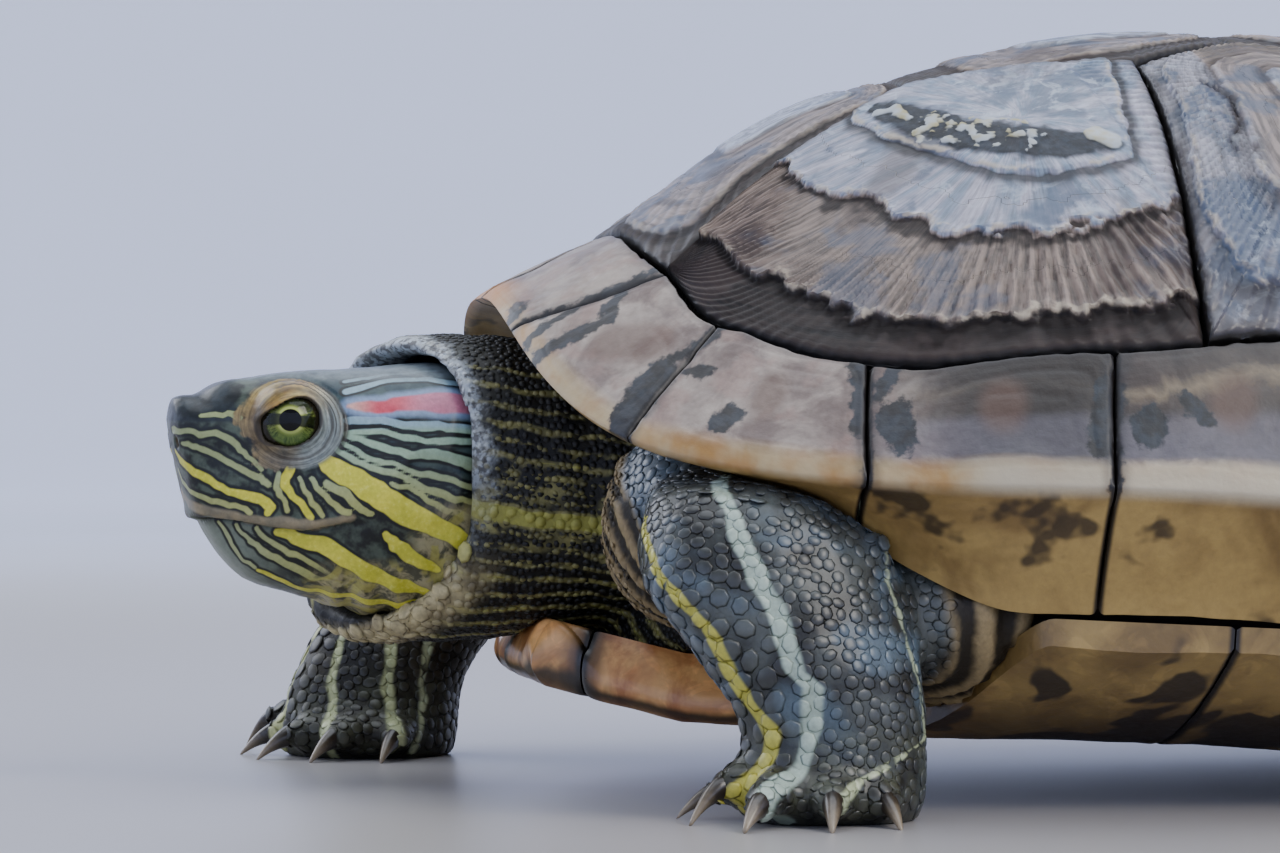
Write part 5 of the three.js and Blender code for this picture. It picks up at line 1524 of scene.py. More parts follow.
def body_fields(points):
    """What the skin's finish reads on the neck, the limbs and the tail."""
    x, y, z = points[:, 0], points[:, 1], points[:, 2]
    sag = z + (y + 121) * (0.23 + 0.018 * (z - 40)) * smooth(y, -126, -114)
    thread = np.arctan2(sag - HEAD_AXIS, np.abs(x)) * 23
    thread = thread + 0.7 * noise(points, 9, 201) + 0.4 * noise(points, 3.2, 202)
    torn = 0.3 * noise(points, 1.7, 203)
    stripe, pale = np.full(x.shape, UNMARKED), np.full(x.shape, UNMARKED)
    for place, half in NECK_LINES:
        stripe = np.maximum(stripe, half - np.abs(thread - place) + torn)
    kind, hue, nearest = np.zeros(x.shape), np.zeros(x.shape), np.full(x.shape, 9.0)
    for limb in LIMBS.values():
        far, turn, radius = limb_turn(limb, points)
        far = np.where(limb["side"] * x > 30, far, 9)
        nearest = np.minimum(nearest, far)
        own = 1 - smooth(far, 1.25, 1.45)
        kind = np.maximum(kind, own)
        turn = turn + 0.05 * noise(points, 5, 204)
        for row, half, yellow in limb["lines"]:
            high, place = np.array(row, float).T
            line = np.radians(np.interp(z, high[::-1], place[::-1]))
            gap = np.abs(np.angle(np.exp(1j * (turn - line)))) * radius
            on = (z < high[0] + 1) & (z > high[-1] - 1.5) & (own > 0.4)
            inside = np.where(on, half + 0.3 * noise(points, 2.2, 205) - gap, UNMARKED)
            hue = np.where(inside > pale, yellow, hue)
            pale = np.maximum(pale, inside)
    stripe = np.where((kind > 0.3) | (np.abs(x) > 33) | (y > -70), UNMARKED, stripe)
    tail = (y > 92) & (np.abs(x) < 34) & (kind < 0.5)
    core_x, core_z, thick = (np.interp(y, (92, 132), ends) for ends in ((0, -20), (19, 5), (9, 3.5)))
    lean = np.arctan2(z - core_z, np.abs(x - core_x))
    inside = np.where(tail, 0.65 - np.abs(lean - 0.5) * thick, UNMARKED)
    hue = np.where(inside > pale, 0.8, hue)
    pale = np.maximum(pale, inside)
    lip, share = lip_distance(points)
    plain = (y < -85) * (1 - kind)
    outside = np.maximum(smooth(share, 0.9, 0.97), smooth(z, 46, 52))
    furrow = np.cos(2 * np.pi * (nearest * 13 + 1.2 * noise(points, 8, 215)) / 4.4)
    tuck = (1 - kind) * smooth(np.abs(x), 28, 38) * (1 - smooth(nearest, 2.6, 3.6))
    tuck = tuck * (1 - 0.6 * smooth(y, 0, 20))
    flush = plain * outside * (1 - smooth(z, 25, 33)) * (1 - smooth(lip, 3, 9))
    # painted sheen on the hood: a ragged band along the rolled lip, brighter towards the top
    lip_sheen_band = 1 - smooth(lip + 0.9 * noise(points, 2.2, 216), 1.8, 4.4)
    silver = plain * outside * lip_sheen_band * mix(0.2, 1.0, smooth(z, 37, 49))
    return {"stripe": stripe, "pale": pale, "kind": kind, "hue": hue, "flush": flush, "silver": silver,
            "tuck": tuck, "furrow": furrow, "far_side": 1.0 * (x < -20), "low": 1 - smooth(z, 9, 15),
            "body": np.ones(x.shape)}


# What the head's finish reads on the body, and the body's on the head: nothing is marked there.
HEAD_ONLY = {"broad": -9, "narrow": -9, "red": -9, "lip": -9, "ring": 9, "slit": 9, "behind": 30, "high": 40,
             "lid_back": 1, "lid_up": 0, "fold": 0, "nostril": 9, "throat": 0}
BODY_ONLY = {"stripe": -9, "pale": -9, "kind": 0, "hue": 0, "flush": 0, "silver": 0, "tuck": 0, "furrow": 0,
             "far_side": 0, "low": 0, "body": 0}


def lip_distance(points):
    """Millimetres behind the hood's lip, and how far out from the neck's axis (1 at its skin)."""
    x, y, z = points.T
    share = np.hypot(x / NECK_SHAPE[0][3], (z - LIP_MIDDLE) / LIP_HALF)
    return y - lip_at(x, np.clip((z - LIP_MIDDLE) / LIP_HALF, -1, 1)), share


def soften_lip(mesh):
    """Rounds the hood's lip to a clean edge."""
    points = points_of(mesh)
    behind, share = lip_distance(points)
    near = np.flatnonzero((np.abs(behind) < 4) & (share < 1.3) & (points[:, 1] < -112))
    with worked(mesh) as bm:
        bm.verts.ensure_lookup_table()
        relax(bm, [bm.verts[i] for i in near], 5)


def body_mesh():
    """Hood, limbs, tail and the flesh between the shells as one skin with its folds."""
    parts = [hood(96, 26), shell_filling(True), shell_filling(False), ringed(60, 60, tail_form)]
    for limb in LIMBS.values():
        parts += limb_parts(limb)
    for side in (1, -1):
        parts.append(swell((side * 50, -60, 25), (19, 16, 12)))
        parts.append(swell((side * 50, 58, 24), (19, 16, 12)))
        parts.append(swell((side * 38, -88, 36), (16, 14, 14)))
    parts.append(swell((0, -84, 21), (34, 13, 10)))
    mesh = blended(parts)
    soften_lip(mesh)
    points, normal = points_of(mesh), normals_of(mesh)
    fields = body_fields(points)
    neck = (1 - fields["kind"]) * (points[:, 1] < -72)
    folds = np.sin(2 * np.pi * (points[:, 1] + 0.12 * points[:, 2] + 2.5 * noise(points, 11, 211)) / 5.6)
    push = neck * (0.12 * folds + 0.3 * noise(points, 6, 212)) + 0.5 * fields["tuck"] * fields["furrow"]
    push += 0.35 * noise(points, 5, 213) * (0.4 + 0.6 * fields["kind"]) + 0.1 * noise(points, 1.8, 214)
    move_points(mesh, kept_clear(points + normal * push[:, None]))
    spread(mesh, fields)
    return mesh


def make_skin():
    """One skin over head, jaw, neck, legs and tail. Gives back its part behind the head."""
    head = grid_mesh("head_skin", *HEAD_ROWS, lambda a, b: head_form(*HEAD_ROWS))
    with worked(head) as bm:
        bmesh.ops.remove_doubles(bm, verts=bm.verts, dist=2e-6)
    body = body_mesh()
    for mesh, plain in ((head, BODY_ONLY), (body, HEAD_ONLY)):
        spread(mesh, {key: np.full(len(mesh.vertices), value, float) for key, value in plain.items()})
    skin = bpy.data.meshes.new("skin")
    with worked(skin) as bm:
        bm.from_mesh(head)
        bm.from_mesh(body)
    nodes = ("head", "jaw", "neck", *("leg_" + name for name in LIMBS), "tail")
    settle("skin", skin, skin_hide, nodes, 1e-7, 0)
    return body
# ---- the skin's finish


def skin_paint(w):
    broad, narrow, red, lip, ring, slit = w.fields("broad narrow red lip ring slit")
    behind, high, throat, hole, lid_back, lid_up = w.fields("behind high throat nostril lid_back lid_up")

    def toward(angle):
        """1 on the side of the eye at this angle, up from straight back, and 0 on the other side."""
        return (lid_back * math.cos(angle) + lid_up * math.sin(angle)) * 0.5 + 0.5

    fine = w.grain(0.0006, 3)
    cloud = w.grain(0.0028, 3)
    mark = broad.most(narrow)
    # the ground between the markings: black beside them, greener in the middle of a wide gap
    middle = mark.step(-0.32, -0.66)
    ground = (middle * cloud.step(0.35, 0.6)).tint(0x111514, 0x4C574A)
    upper = high.step(38, 47)
    ground = (upper * middle * behind.step(14, 22) * 0.5).tint(ground, 0x35505A)
    thin = upper.tint(0xAAAD6A, 0x97B298)
    # the thin lines on top of the head turn pale blue: painted sky sheen
    thin = (high.step(48.2, 49.4) * behind.step(10, 16) * 0.8).tint(thin, 0x8CA9BC)
    thin = (high.step(40, 43) * behind.step(15, 10) * 0.85).tint(thin, 0x99A068)
    chin = behind.step(18, 8) * high.step(37, 35)
    ground = (chin * middle * 0.8).tint(ground, 0x7C8676)
    thin = (chin * 0.7).tint(thin, 0xA3AC82)
    colour = narrow.step(-0.14, 0.1).tint(ground, thin)
    yellow = cloud.step(0.3, 0.7).tint(0xE2DA4A, 0xCFCB3C)
    yellow = (fine.step(0.55, 0.7) * 0.35).tint(yellow, 0xD8D67C)
    colour = broad.step(-0.16, 0.1).tint(colour, yellow)
    # red behind the eye, ringed by pale blue that is painted sky reflection
    sky_sheen_by_red = red.step(-1.5, -0.3)
    colour = (sky_sheen_by_red * 0.8).tint(colour, 0x8FA6C6)
    blush = (behind.step(29, 33) * 0.65 + cloud * 0.2).tint(0xCF4A58, 0xC9889F)
    blush = behind.step(23, 27).tint(0xD8A79B, blush)
    colour = red.step(-0.3, 0.2).tint(colour, blush)
    # crown, nose and beak
    # the crown is painted grey-blue as sky sheen over the skin, except on the broad stripes
    crown = high.step(54.6, 56.2) * (1 - broad.step(-0.2, 0.1))
    crown_sky_sheen = cloud.step(0.3, 0.7).tint(0x566167, 0x7E898D)
    colour = (crown * 0.9).tint(colour, crown_sky_sheen)
    cap = high.step(49.2, 50.0) * behind.step(9.5, 7.5) * (1 - narrow.step(-0.15, 0.1))
    colour = cap.tint(colour, cloud.step(0.35, 0.7).tint(0x141A1C, 0x2B3439))
    tan = cloud.step(0.3, 0.65).tint(0x9B8D6C, 0x7B725C)
    colour = (lip.step(-0.35, 0.15) * 0.92).tint(colour, tan)
    # the lids
    front, lower, snoutward, rearward = toward(2.5), toward(-0.9), toward(-2.6), toward(0.9)
    lids = lower.step(0.3, 0.75).tint(0xB3A886, 0x87908C)
    brow = front.step(0.42, 0.75)
    lids = (brow * 0.95).tint(lids, cloud.step(0.3, 0.65).tint(0x96702E, 0xA68F4E))
    lids = (snoutward.step(0.6, 0.92) * 0.8).tint(lids, cloud.step(0.3, 0.6).tint(0x4E4638, 0x857455))
    wrinkles = w.grain(0.05, 3, w.stretched(ring, lid_back * 0.06, lid_up * 0.06), 0.6).step(0.36, 0.6)
    lids = (wrinkles * 0.75 + fine * 0.2).tint(lids.bright(0.5), lids.bright(1.15))
    # painted shade in a fold line round the upper lid
    crease = ring.step(0.72, 0.76) * ring.step(0.83, 0.79)
    lids = (crease * 0.5).tint(lids, 0x3B3022)
    # painted shade in the troughs of the lid's folds, on the rear side
    fold_shade = w.field("fold").cosine().step(0.25, 0.85) * rearward.step(0.5, 0.8) * ring.step(0.74, 0.82)
    lids = (fold_shade * 0.75).tint(lids, 0x3A3428)
    ragged = (cloud - 0.5) * snoutward.step(0.55, 0.95) * 0.9
    colour = (ring - ragged).step(1.08, 0.95).tint(colour, lids)
    behind_brow = rearward.step(0.3, 0.75)
    # painted shade in the groove round the orbit, behind the brow
    outline = ring.step(0.97, 1.03) * ring.step(1.13, 1.06) * behind_brow
    colour = (outline * 0.85).tint(colour, 0x231F19)
    margin = slit.step(1.17, 1.08)
    colour = (margin * 0.85).tint(colour, 0x2E261C)
    colour = hole.step(0.75, 0.45).tint(colour, 0x4B3A1E)
    # the throat, speckled between its folds
    speckle = w.grain(0.0024, 3, None, 0.6, 0.6)
    throat_tone = speckle.step(0.42, 0.6).tint(0x504D36, 0xA89E72)
    blotched = w.grain(0.0052, 3, None, 0.5, 1.2).step(0.5, 0.58)
    throat_tone = (blotched * 0.85).tint(throat_tone, 0xB2AA56)
    colour = (throat.step(0.1, 0.6) * 0.85 * (1 - broad.step(-0.3, 0.2))).tint(colour, throat_tone)
    colour = (fine * 1.4 - 0.2).tint(colour.bright(0.78), colour.bright(1.2))
    # the head's colours end where the body's begin
    body = w.field("body")
    colour = body.step(0.4, 0.6).tint(colour, body_paint(w, fine, cloud))
    scales = w.node("TexVoronoi", {"feature": "DISTANCE_TO_EDGE"}, {"Vector": w.place(), "Scale": 1 / 0.0011})
    coarse = body * 0.8 + throat * 0.6
    rise = scales.least(0.25) * coarse * 1.6 + fine * 0.5
    gloss = 0.34 + fine * 0.16 + coarse * 0.14 - lip.step(-0.3, 0.2) * 0.05
    return {"Base Color": colour, "Roughness": gloss, "Normal": w.relief(rise, 0.00012, 0.7),
            "Subsurface Weight": 0.04, "Subsurface Radius": (0.004, 0.002, 0.001), "Subsurface Scale": 0.3,
            "Coat Weight": (1 - body) * 0.22 + wet_limbs(w), "Coat Roughness": 0.2, "Specular IOR Level": 0.3}


def wet_limbs(w):
    """A wet coat on all limbs but those of the right side, and a thin one everywhere."""
    kind, far_side = w.fields("kind far_side")
    return kind * (1 - far_side) * 0.34 + 0.05


def body_paint(w, fine, cloud):
    """The colour of neck, limbs and tail."""
    stripe, pale, kind, hue, tuck, furrow = w.fields("stripe pale kind hue tuck furrow")
    silver, flush, far_side, low = w.fields("silver flush far_side low")
    drift = w.grain(0.007, 3, None, 0.55)
    ground = drift.step(0.35, 0.65).tint(0x0A0907, 0x1E1D15)
    limb = drift.step(0.34, 0.66).tint(0x1D1E1B, 0x4A4F4C)
    # bluish patches on the limbs: painted blue-silver sheen
    limb = (w.grain(0.013, 3, None, 0.5).step(0.5, 0.64) * 0.65).tint(limb, 0x5A6E7C)
    # the limbs of the far side painted darker and browner, as painted shade
    limb = (far_side * 0.95).tint(limb, drift.step(0.34, 0.66).tint(0x19150D, 0x332E20))
    trodden = cloud.step(0.35, 0.65).tint(0x1E1C14, 0x484A3A)
    limb = (low * 0.75).tint(limb, trodden)
    ground = kind.step(0.2, 0.8).tint(ground, limb)
    band = stripe.step(-0.2, 0.25)
    broad = stripe.step(0.35, 0.7)
    colour = band.tint(ground, cloud.step(0.3, 0.7).tint(0x5F5C38, 0x85804C))
    colour = broad.tint(colour, 0x9B9948)
    ridge = pale.step(-0.35, 0.35)
    colour = ridge.tint(colour, hue.tint(0x9DB0A8, 0xBDB64A))
    # the skin folds beside the limbs: tan on their crests and dark in their troughs, partly the skin's own
    # colour and partly painted light and shade
    ridges = (furrow + w.grain(0.004, 3, None, 0.6, 0.5) * 1.6 - 0.8).step(-0.5, 0.7)
    tan = ridges.tint(0x2A2318, 0xA08C64)
    colour = (tuck * 0.9).tint(colour, tan)
    # painted silver sheen on the hood
    sheen_tone = w.grain(0.0011, 2).step(0.4, 0.56).tint(0x6F7070, cloud.step(0.35, 0.6).tint(0xA9ADAA, 0xC3CCD2))
    colour = (silver * 0.9).tint(colour, sheen_tone)
    colour = flush.tint(colour, cloud.step(0.35, 0.65).tint(0x9A8D68, 0xC9BB8B))
    return (fine * 1.3 - 0.15).tint(colour.bright(0.72), colour.bright(1.22))


skin_hide = finish("skin", skin_paint)
flesh = make_skin()
# ---- eyes and claws

GAZE = unit(np.array((0.973, -0.204, 0.09)))
CORNEA_RISE, CORNEA_TURN = 0.28, 0.72
# A claw: how deep its root is sunk, its thickness as a share of its toe's, and the height of its end.
CLAW_SUNK, CLAW_THICK, CLAW_END = 1.8, 0.46, 0.75


def eye_paint(w):
    """A dark pupil, a bright ring round it, green iris crossed by a dark bar, its top darkened as painted
    shade of the upper lid, and a dark rim.
    """
    out, up, along, turn = w.fields("out up along turn")
    ray = w.grain(0.09, 3, w.stretched(turn * 0.35, out * 0.12), 0.6)
    iris = ray.step(0.35, 0.65).tint(0x2C3419, 0x76833F)
    iris = ((out + ray * 0.8).step(2.8, 2.0) * 0.85).tint(iris, 0x97A54A)
    iris = (out.step(1.95, 1.6) * 0.6).tint(iris, 0xC3CB78)
    iris = ((up * -1).step(0.6, 2.4) * 0.5).tint(iris, 0x53743C)
    # painted shade of the upper lid over the top of the iris
    iris = (up.step(0.5, 1.9) * out.step(1.7, 2.3) * 0.85).tint(iris, 0x151C10)
    lean = up - along * 0.09
    bar = (lean * lean + ray * 0.5 - out * 0.12).step(0.85, 0.4)
    iris = (bar * 0.93).tint(iris, 0x0F140C)
    colour = out.step(1.5, 1.38).tint(iris, 0x020202)
    colour = out.step(3.0, 3.5).tint(colour, 0x1E1A0E)
    return {"Base Color": colour, "Roughness": 0.15, "Coat Weight": 0.4, "Coat Roughness": 0.02,
            "Specular IOR Level": 0.1}


def claw_paint(w):
    streak = w.grain(0.0006, 3)
    colour = (w.field("along") + streak * 0.3).step(0.35, 1.1).tint(0x2A231C, 0x8E7F68)
    return {"Base Color": colour, "Roughness": 0.3, "Coat Weight": 0.3}


def make_eye(name, side):
    """An eyeball with its bulging cornea, turned to where it looks."""
    mesh = bpy.data.meshes.new(name)
    with worked(mesh) as bm:
        bmesh.ops.create_uvsphere(bm, u_segments=72, v_segments=48, radius=1)
    ball = vectors(mesh.vertices, "co")
    gaze = GAZE * (side, 1, 1)
    right = unit(np.cross((0, 0, 1), gaze))
    above = np.cross(gaze, right)
    off_gaze = np.arccos(np.clip(ball[:, 2], -1, 1))
    radius = EYE_RADIUS + CORNEA_RISE * np.clip(1 - off_gaze / CORNEA_TURN, 0, 1) ** 0.6
    points = (ball[:, :1] * right + ball[:, 1:2] * above + ball[:, 2:] * gaze) * radius[:, None]
    move_points(mesh, turn_head(points + (side * EYE_SIDE, EYE_BACK, EYE_HEIGHT)))
    reach = np.where(ball[:, 2] > 0, np.hypot(ball[:, 0], ball[:, 1]) * EYE_RADIUS, 9)
    spread(mesh, {"out": reach, "along": -ball[:, 0] * EYE_RADIUS, "up": ball[:, 1] * EYE_RADIUS,
                  "turn": np.cos(np.arctan2(ball[:, 1], ball[:, 0]) * 3)})
    settle(name + "_ball", mesh, eyeball, (name,), sharp=0)


def make_claws(name, limb):
    """A limb's claws, each a curved cone whose root is sunk in its toe."""
    mirror = (limb["side"], 1, 1)
    mesh = bpy.data.meshes.new("claws_" + name)
    with worked(mesh) as whole:
        for base, tip, thick in limb["toes"]:
            base, tip = np.array(base) * mirror, np.array(tip) * mirror
            run = unit(tip - base)
            sideways = unit(np.cross(run, (0, 0, 1.0)))

            def form(a, b):
                radius = thick * CLAW_THICK * (1 - 0.86 * b**1.3) * round_ends(b, 0.04, 0.05)
                reach = b * (limb["claw"] + CLAW_SUNK) - CLAW_SUNK
                across = (radius * np.cos(a * 2 * np.pi))[..., None] * sideways
                up = 1.2 * radius * np.sin(a * 2 * np.pi) - (tip[2] - CLAW_END) * b**2
                spots = tip + reach[..., None] * run + across + join(0, 0, up)
                spots[..., 2] = np.maximum(spots[..., 2], 0)
                return spots, {"along": b}
            whole.from_mesh(grid_mesh("claw", 14, 14, form))
    settle("claws_" + name, mesh, claw_horn, merge=1e-6)


eyeball = finish("eye", eye_paint)
claw_horn = finish("claw", claw_paint)
make_eye("eye_left", 1)
make_eye("eye_right", -1)
for limb_name, limb in LIMBS.items():
    make_claws(limb_name, limb)

# ---- scales and beads of the skin

NEAR_CELLS = [(a, b, c) for a in (-1, 0, 1) for b in (-1, 0, 1) for c in (-1, 0, 1)]
# Where scales may take root within each square of the skin, as shares of its corners.
SEED_PLACES = np.array(((3, 3, 3, 3), (7, 2, 1, 2), (2, 7, 2, 1), (1, 2, 7, 2), (2, 1, 2, 7))) / 12
BAKE_PATCH = 0.0015  # the size of one scale on the map its colours are baked to


def scale_paint(w):
    fine = w.grain(0.0006, 3)
    colour = body_paint(w, fine, w.grain(0.0028, 3))
    # each scale painted darker at its root and lighter at its top, as painted shade and highlight
    colour = w.field("top").step(0.0, 0.7).tint(colour.bright(0.66), colour.bright(1.12))
    gloss = fine * 0.2 + 0.52 - w.field("kind") * 0.2
    return {"Base Color": colour, "Roughness": gloss, "Coat Weight": wet_limbs(w), "Coat Roughness": 0.22}


def scattered(points, gap, seed):
    """Some of the points, in random order, that keep their own gap from each other."""
    cell = gap.max()
    taken, kept = {}, []

    def is_clear(i, key):
        for shift in NEAR_CELLS:
            for j in taken.get((key[0] + shift[0], key[1] + shift[1], key[2] + shift[2]), ()):
                away = points[i] - points[j]
                if away @ away < (0.5 * (gap[i] + gap[j])) ** 2:
                    return False
        return True

    for i in np.random.default_rng(seed).permutation(len(points)):
        key = tuple((points[i] // cell).astype(int))
        if is_clear(i, key):
            taken.setdefault(key, []).append(i)
            kept.append(i)
    return np.array(kept)


def scale_form(sides, rings):
    """One low scale: a flat dome of a few faces, its points and its faces."""
    bm = bmesh.new()
    bmesh.ops.create_uvsphere(bm, u_segments=sides, v_segments=rings, radius=1)
    points = np.array([v.co[:] for v in bm.verts])
    points[:, 2] = power(points[:, 2], 0.6)
    faces = [[v.index for v in f.verts] for f in bm.faces]
    bm.free()
    return points, faces


def rolled_out(x, z, start, length):
    """A map of the skin round a level axis: its turn across and its way along."""
    return lambda p: (0.5 + np.arctan2(p[:, 2] - z, p[:, 0] - x) / 6.4, 0.05 + (p[:, 1] - start) / length)


def make_scales(name, body, where, gap, height, seed, unwrap, lengthen=(0, 0, 1), follow=None, detail=(7, 4)):
    """Scales over the part of the skin where the mask holds. gap: their size at each point of the skin;
    follow: gives the fields within each scale, where one number a scale is too coarse."""
    points, normal, fields = body
    chosen = np.flatnonzero(where)
    kept = chosen[scattered(points[chosen], gap[chosen], seed)]
    form, faces = scale_form(*detail)
    chance = np.random.default_rng(seed + 1)
    out = normal[kept]
    along = unit(np.cross(out, np.cross(lengthen, out) + 1e-6))
    size = gap[kept] * chance.uniform(0.6, 0.72, len(kept))
    squash = chance.uniform(0.85, 1.2, len(kept))
    tall = height[kept] * chance.uniform(0.7, 1.25, len(kept))
    swing = chance.uniform(-0.5, 0.5, len(kept))[:, None]
    along = along * np.cos(swing) + np.cross(out, along) * np.sin(swing)
    frames = np.stack((np.cross(out, along), along, out), axis=1)
    local = form[None] * np.stack((size * squash, size / squash, tall), axis=1)[:, None, :]
    centre = points[kept] - out * (0.12 * tall)[:, None]
    spots = centre[:, None] + sum(local[..., k:k + 1] * frames[:, None, k] for k in range(3))
    spots[..., 2] = np.maximum(spots[..., 2], 0.02)
    count, each = len(kept), len(form)
    corners, sizes = np.concatenate(faces), [len(face) for face in faces]
    mesh = bpy.data.meshes.new(name)
    mesh.vertices.add(count * each)
    mesh.loops.add(count * len(corners))
    mesh.polygons.add(count * len(faces))
    move_points(mesh, spots)
    order = (corners[None] + each * np.arange(count)[:, None]).ravel()
    mesh.loops.foreach_set("vertex_index", order.astype(np.int32))
    starts = np.concatenate(((0,), np.cumsum(np.tile(sizes, count))[:-1]))
    mesh.polygons.foreach_set("loop_start", starts.astype(np.int32))
    mesh.update(calc_edges=True)
    mesh.validate()
    layer = mesh.uv_layers.new(name="OFBake")
    patch = np.stack(unwrap(points[kept]), axis=1)[:, None] + BAKE_PATCH * form[None, :, :2]
    layer.uv.foreach_set("vector", patch.reshape(-1, 2)[order].astype(np.float32).ravel())
    if follow:
        spread(mesh, follow(spots.reshape(-1, 3)))
    else:
        spread(mesh, {key: np.repeat(values[kept], each) for key, values in fields.items()})
    spread(mesh, {"top": np.tile(form[:, 2], count)})
    hang(name, mesh, scale_horn)


def seeded(values):
    """Values at the skin's points, followed by those at the places within its squares."""
    corners = np.empty(len(flesh.loops), np.int32)
    flesh.loops.foreach_get("vertex_index", corners)
    squares = values[corners.reshape(-1, 4)]
    return np.concatenate([values] + [(squares * share[None, :, None]).sum(1) for share in SEED_PLACES])


scale_horn = finish("scales", scale_paint)
flesh_points, flesh_normal = seeded(points_of(flesh)), unit(seeded(normals_of(flesh)))
flesh_fields = body_fields(flesh_points)
flesh_body = (flesh_points, flesh_normal, flesh_fields)
fx, fy, fz = flesh_points.T
kind, flush = flesh_fields["kind"], flesh_fields["flush"]
lip_gap, lip_share = lip_distance(flesh_points)
above_floor = (fz > 1.2) & (flesh_normal[:, 2] > -0.85)
backward = (0, 1, 0)

neck_skin = (kind < 0.25) & (fy < -79) & (np.abs(fx) < 42) & (lip_share > 0.93)
neck_skin &= (lip_gap > 1.6) | (flush > 0.4)
neck_gap = 0.84 + 0.1 * noise(flesh_points, 7, 301) + 0.75 * flush
neck_gap += 0.5 * smooth(flesh_fields["stripe"], 0.3, 0.9)
neck_height = neck_gap * (0.04 + 0.16 * smooth(lip_gap, 1.5, 7) + 0.12 * flush)
neck_map = rolled_out(0, HEAD_AXIS, -140, 90)
make_scales("scales_neck", flesh_body, neck_skin, neck_gap, neck_height, 31, neck_map, backward, body_fields,
            (6, 3))

for limb_name, limb in LIMBS.items():
    far, turn, _ = limb_turn(limb, flesh_points)
    mine = (far < 1.35) & (limb["side"] * fx > 30) & above_floor & ((fy < 0) == ("front" in limb_name))
    # larger scales on the front of the shin
    fore = smooth(np.abs(np.angle(np.exp(1j * (turn + 1.2)))), 1.3, 0.6)
    fore = fore * smooth(fz, 34, 26) * smooth(fz, 4, 9)
    limb_gap = 1.45 + 0.3 * noise(flesh_points, 6, 302) + 0.9 * fore + 0.3 * smooth(fz, 8, 3)
    make_scales("scales_" + limb_name, flesh_body, mine, limb_gap, 0.1 * limb_gap, 37 + len(limb_name),
                lambda p: (0.5 + limb_turn(limb, p)[1] / 6.4, 0.05 + p[:, 2] / 60), follow=body_fields)

tail_skin = (fy > 88) & (np.abs(fx) < 32) & (kind < 0.25) & above_floor
tail_gap = np.interp(fy, (88, 132), (1.9, 0.9))
tail_map = rolled_out(-8, 12, 85, 60)
make_scales("scales_tail", flesh_body, tail_skin, tail_gap, 0.14 * tail_gap, 53, tail_map, backward)

# a row of large beads round the hood's lower rim, and a short second row behind it
bead_turn = np.radians(np.concatenate((np.linspace(198, 334, 31), np.linspace(296, 338, 8))))
bead_back = np.repeat((0, 2.6), (31, 8))
bead_up = np.sin(bead_turn)
bead_x, bead_z = power(np.cos(bead_turn), 0.92) * 18.6, 40.4 + power(bead_up, 0.92) * 19.7
bead_y = lip_at(bead_x, bead_up) - 0.2 + bead_back
beads = join(bead_x + 0.25 * bead_back * np.cos(bead_turn), bead_y, bead_z + 0.25 * bead_back * bead_up)
on_lip = np.flatnonzero((np.abs(lip_gap) < 5) & (lip_share > 0.9) & (kind < 0.2))
nearest = on_lip[((flesh_points[on_lip][None] - beads[:, None]) ** 2).sum(-1).argmin(1)]
beads, bead_out = flesh_points[nearest], flesh_normal[nearest]
speckled = noise(beads, 4, 305) > 0.15
bead_fields = {key: np.zeros(len(beads)) for key in flesh_fields}
bead_fields.update(stripe=np.full(len(beads), UNMARKED), pale=np.where(speckled, 0.6, UNMARKED),
                   hue=np.full(len(beads), 0.8), flush=np.where(speckled, 0.25, 1.0))
bead_gap = 2.1 + 0.35 * noise(beads, 3, 306)
make_scales("beads_hood", (beads, bead_out, bead_fields), np.ones(len(beads), bool), bead_gap,
            0.22 * bead_gap, 61, neck_map, backward)

# ---- floor, light and camera


def floor_paint(w):
    out = w.node("VectorMath", {"operation": "LENGTH"}, {0: w.place()}, 1)
    cloud = w.grain(0.35, 3)
    colour = out.step(0.25, 1.5).tint(0xA6A2A0, 0xCFD4E4)
    colour = (cloud * 0.2).tint(colour, 0x9F9B9A)
    glow = out.step(0.5, 2.6).tint(0x000000, 0xBCC4DE)
    return {"Base Color": colour, "Roughness": out.step(0.2, 0.9) * 0.4 + 0.32, "Emission Color": glow,
            "Emission Strength": 0.8}


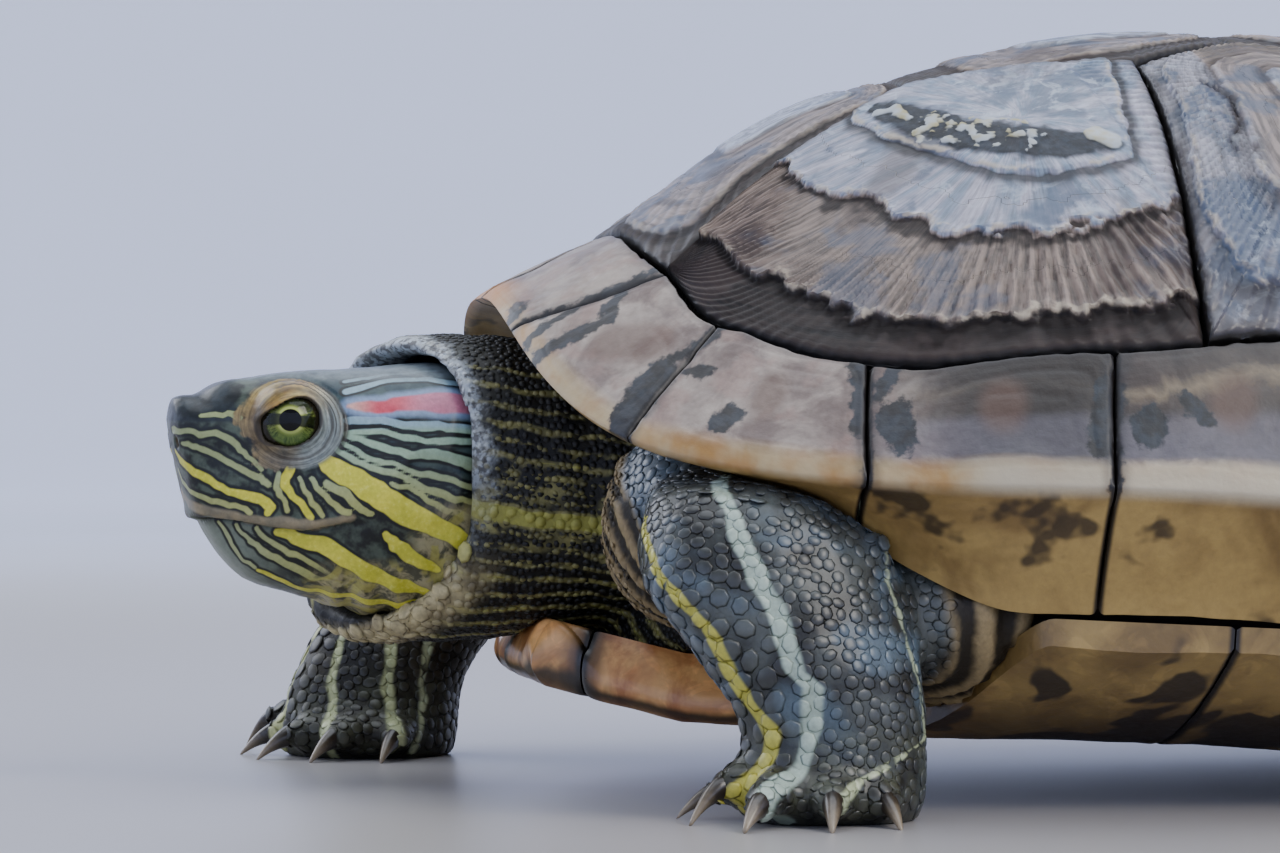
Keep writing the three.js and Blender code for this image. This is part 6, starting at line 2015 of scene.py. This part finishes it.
def make_floor():
    """A round floor that is flat beside the animal and rises far away into a wall."""
    flat, bend = 3.0, 1.8
    turns = np.linspace(0.1, math.pi / 2, 14)
    profile = [(0.02, 0), (1.0, 0), (flat, 0)]
    profile += [(flat + bend * math.sin(t), bend - bend * math.cos(t)) for t in turns]
    profile.append((flat + bend, 2 * bend))
    bm = bmesh.new()
    points = [bm.verts.new((x, 0, z)) for x, z in profile]
    edges = [bm.edges.new(pair) for pair in zip(points, points[1:])]
    bmesh.ops.spin(bm, geom=points + edges, cent=(0, 0, 0), axis=(0, 0, 1), angle=2 * math.pi, steps=96,
                   use_merge=True)
    middle_hole = [edge for edge in bm.edges if edge.is_boundary and edge.verts[0].co.length < 0.1]
    bmesh.ops.holes_fill(bm, edges=middle_hole, sides=0)
    bmesh.ops.recalc_face_normals(bm, faces=bm.faces)
    if sum(f.normal.z for f in bm.faces) < 0:
        bmesh.ops.reverse_faces(bm, faces=bm.faces)
    mesh = bpy.data.meshes.new("floor")
    bm.to_mesh(mesh)
    bm.free()
    mesh.shade_smooth()
    mesh.materials.append(finish("pale floor", floor_paint))
    floor = bpy.data.objects.new("floor", mesh)
    bpy.context.scene.collection.objects.link(floor)


def aimed(thing, place, target):
    """Puts a lamp or a camera at a place and turns it to its target."""
    thing.location = place
    thing.rotation_euler = (Vector(target) - Vector(place)).to_track_quat("-Z", "Y").to_euler()
    bpy.context.scene.collection.objects.link(thing)


def lamp(name, place, target, size, watts, colour):
    data = bpy.data.lights.new(name, "AREA")
    data.shape, data.size, data.size_y = "RECTANGLE", size[0], size[1]
    data.energy, data.color = watts, colour
    aimed(bpy.data.objects.new(name, data), place, target)


make_floor()
lamp("overhead", (-0.15, 0.1, 1.5), (0, 0, 0), (1.6, 1.8), 20, (0.86, 0.92, 1.0))
lamp("key", (0.9, 0.7, 1.1), (0, -0.06, 0.05), (0.7, 0.7), 13, (1.0, 0.96, 0.9))
lamp("window", (-0.9, -0.9, 0.8), (0, -0.05, 0.06), (0.9, 0.9), 8, (0.93, 0.96, 1.0))

world = bpy.data.worlds.new("room")
world.use_nodes = True
world.node_tree.nodes["Background"].inputs[0].default_value = (0.62, 0.68, 0.85, 1)
world.node_tree.nodes["Background"].inputs[1].default_value = 0.55
bpy.context.scene.world = world

lens = bpy.data.cameras.new("camera")
lens.lens, lens.sensor_width = 131.6, 36
lens.clip_start, lens.clip_end = 0.05, 30
lens.dof.use_dof = False
camera = bpy.data.objects.new("camera", lens)
aimed(camera, in_part(np.array((642.0, -192.7, 49.0))), in_part(np.array((0.0, -91.0, 49.0))))
bpy.context.scene.camera = camera
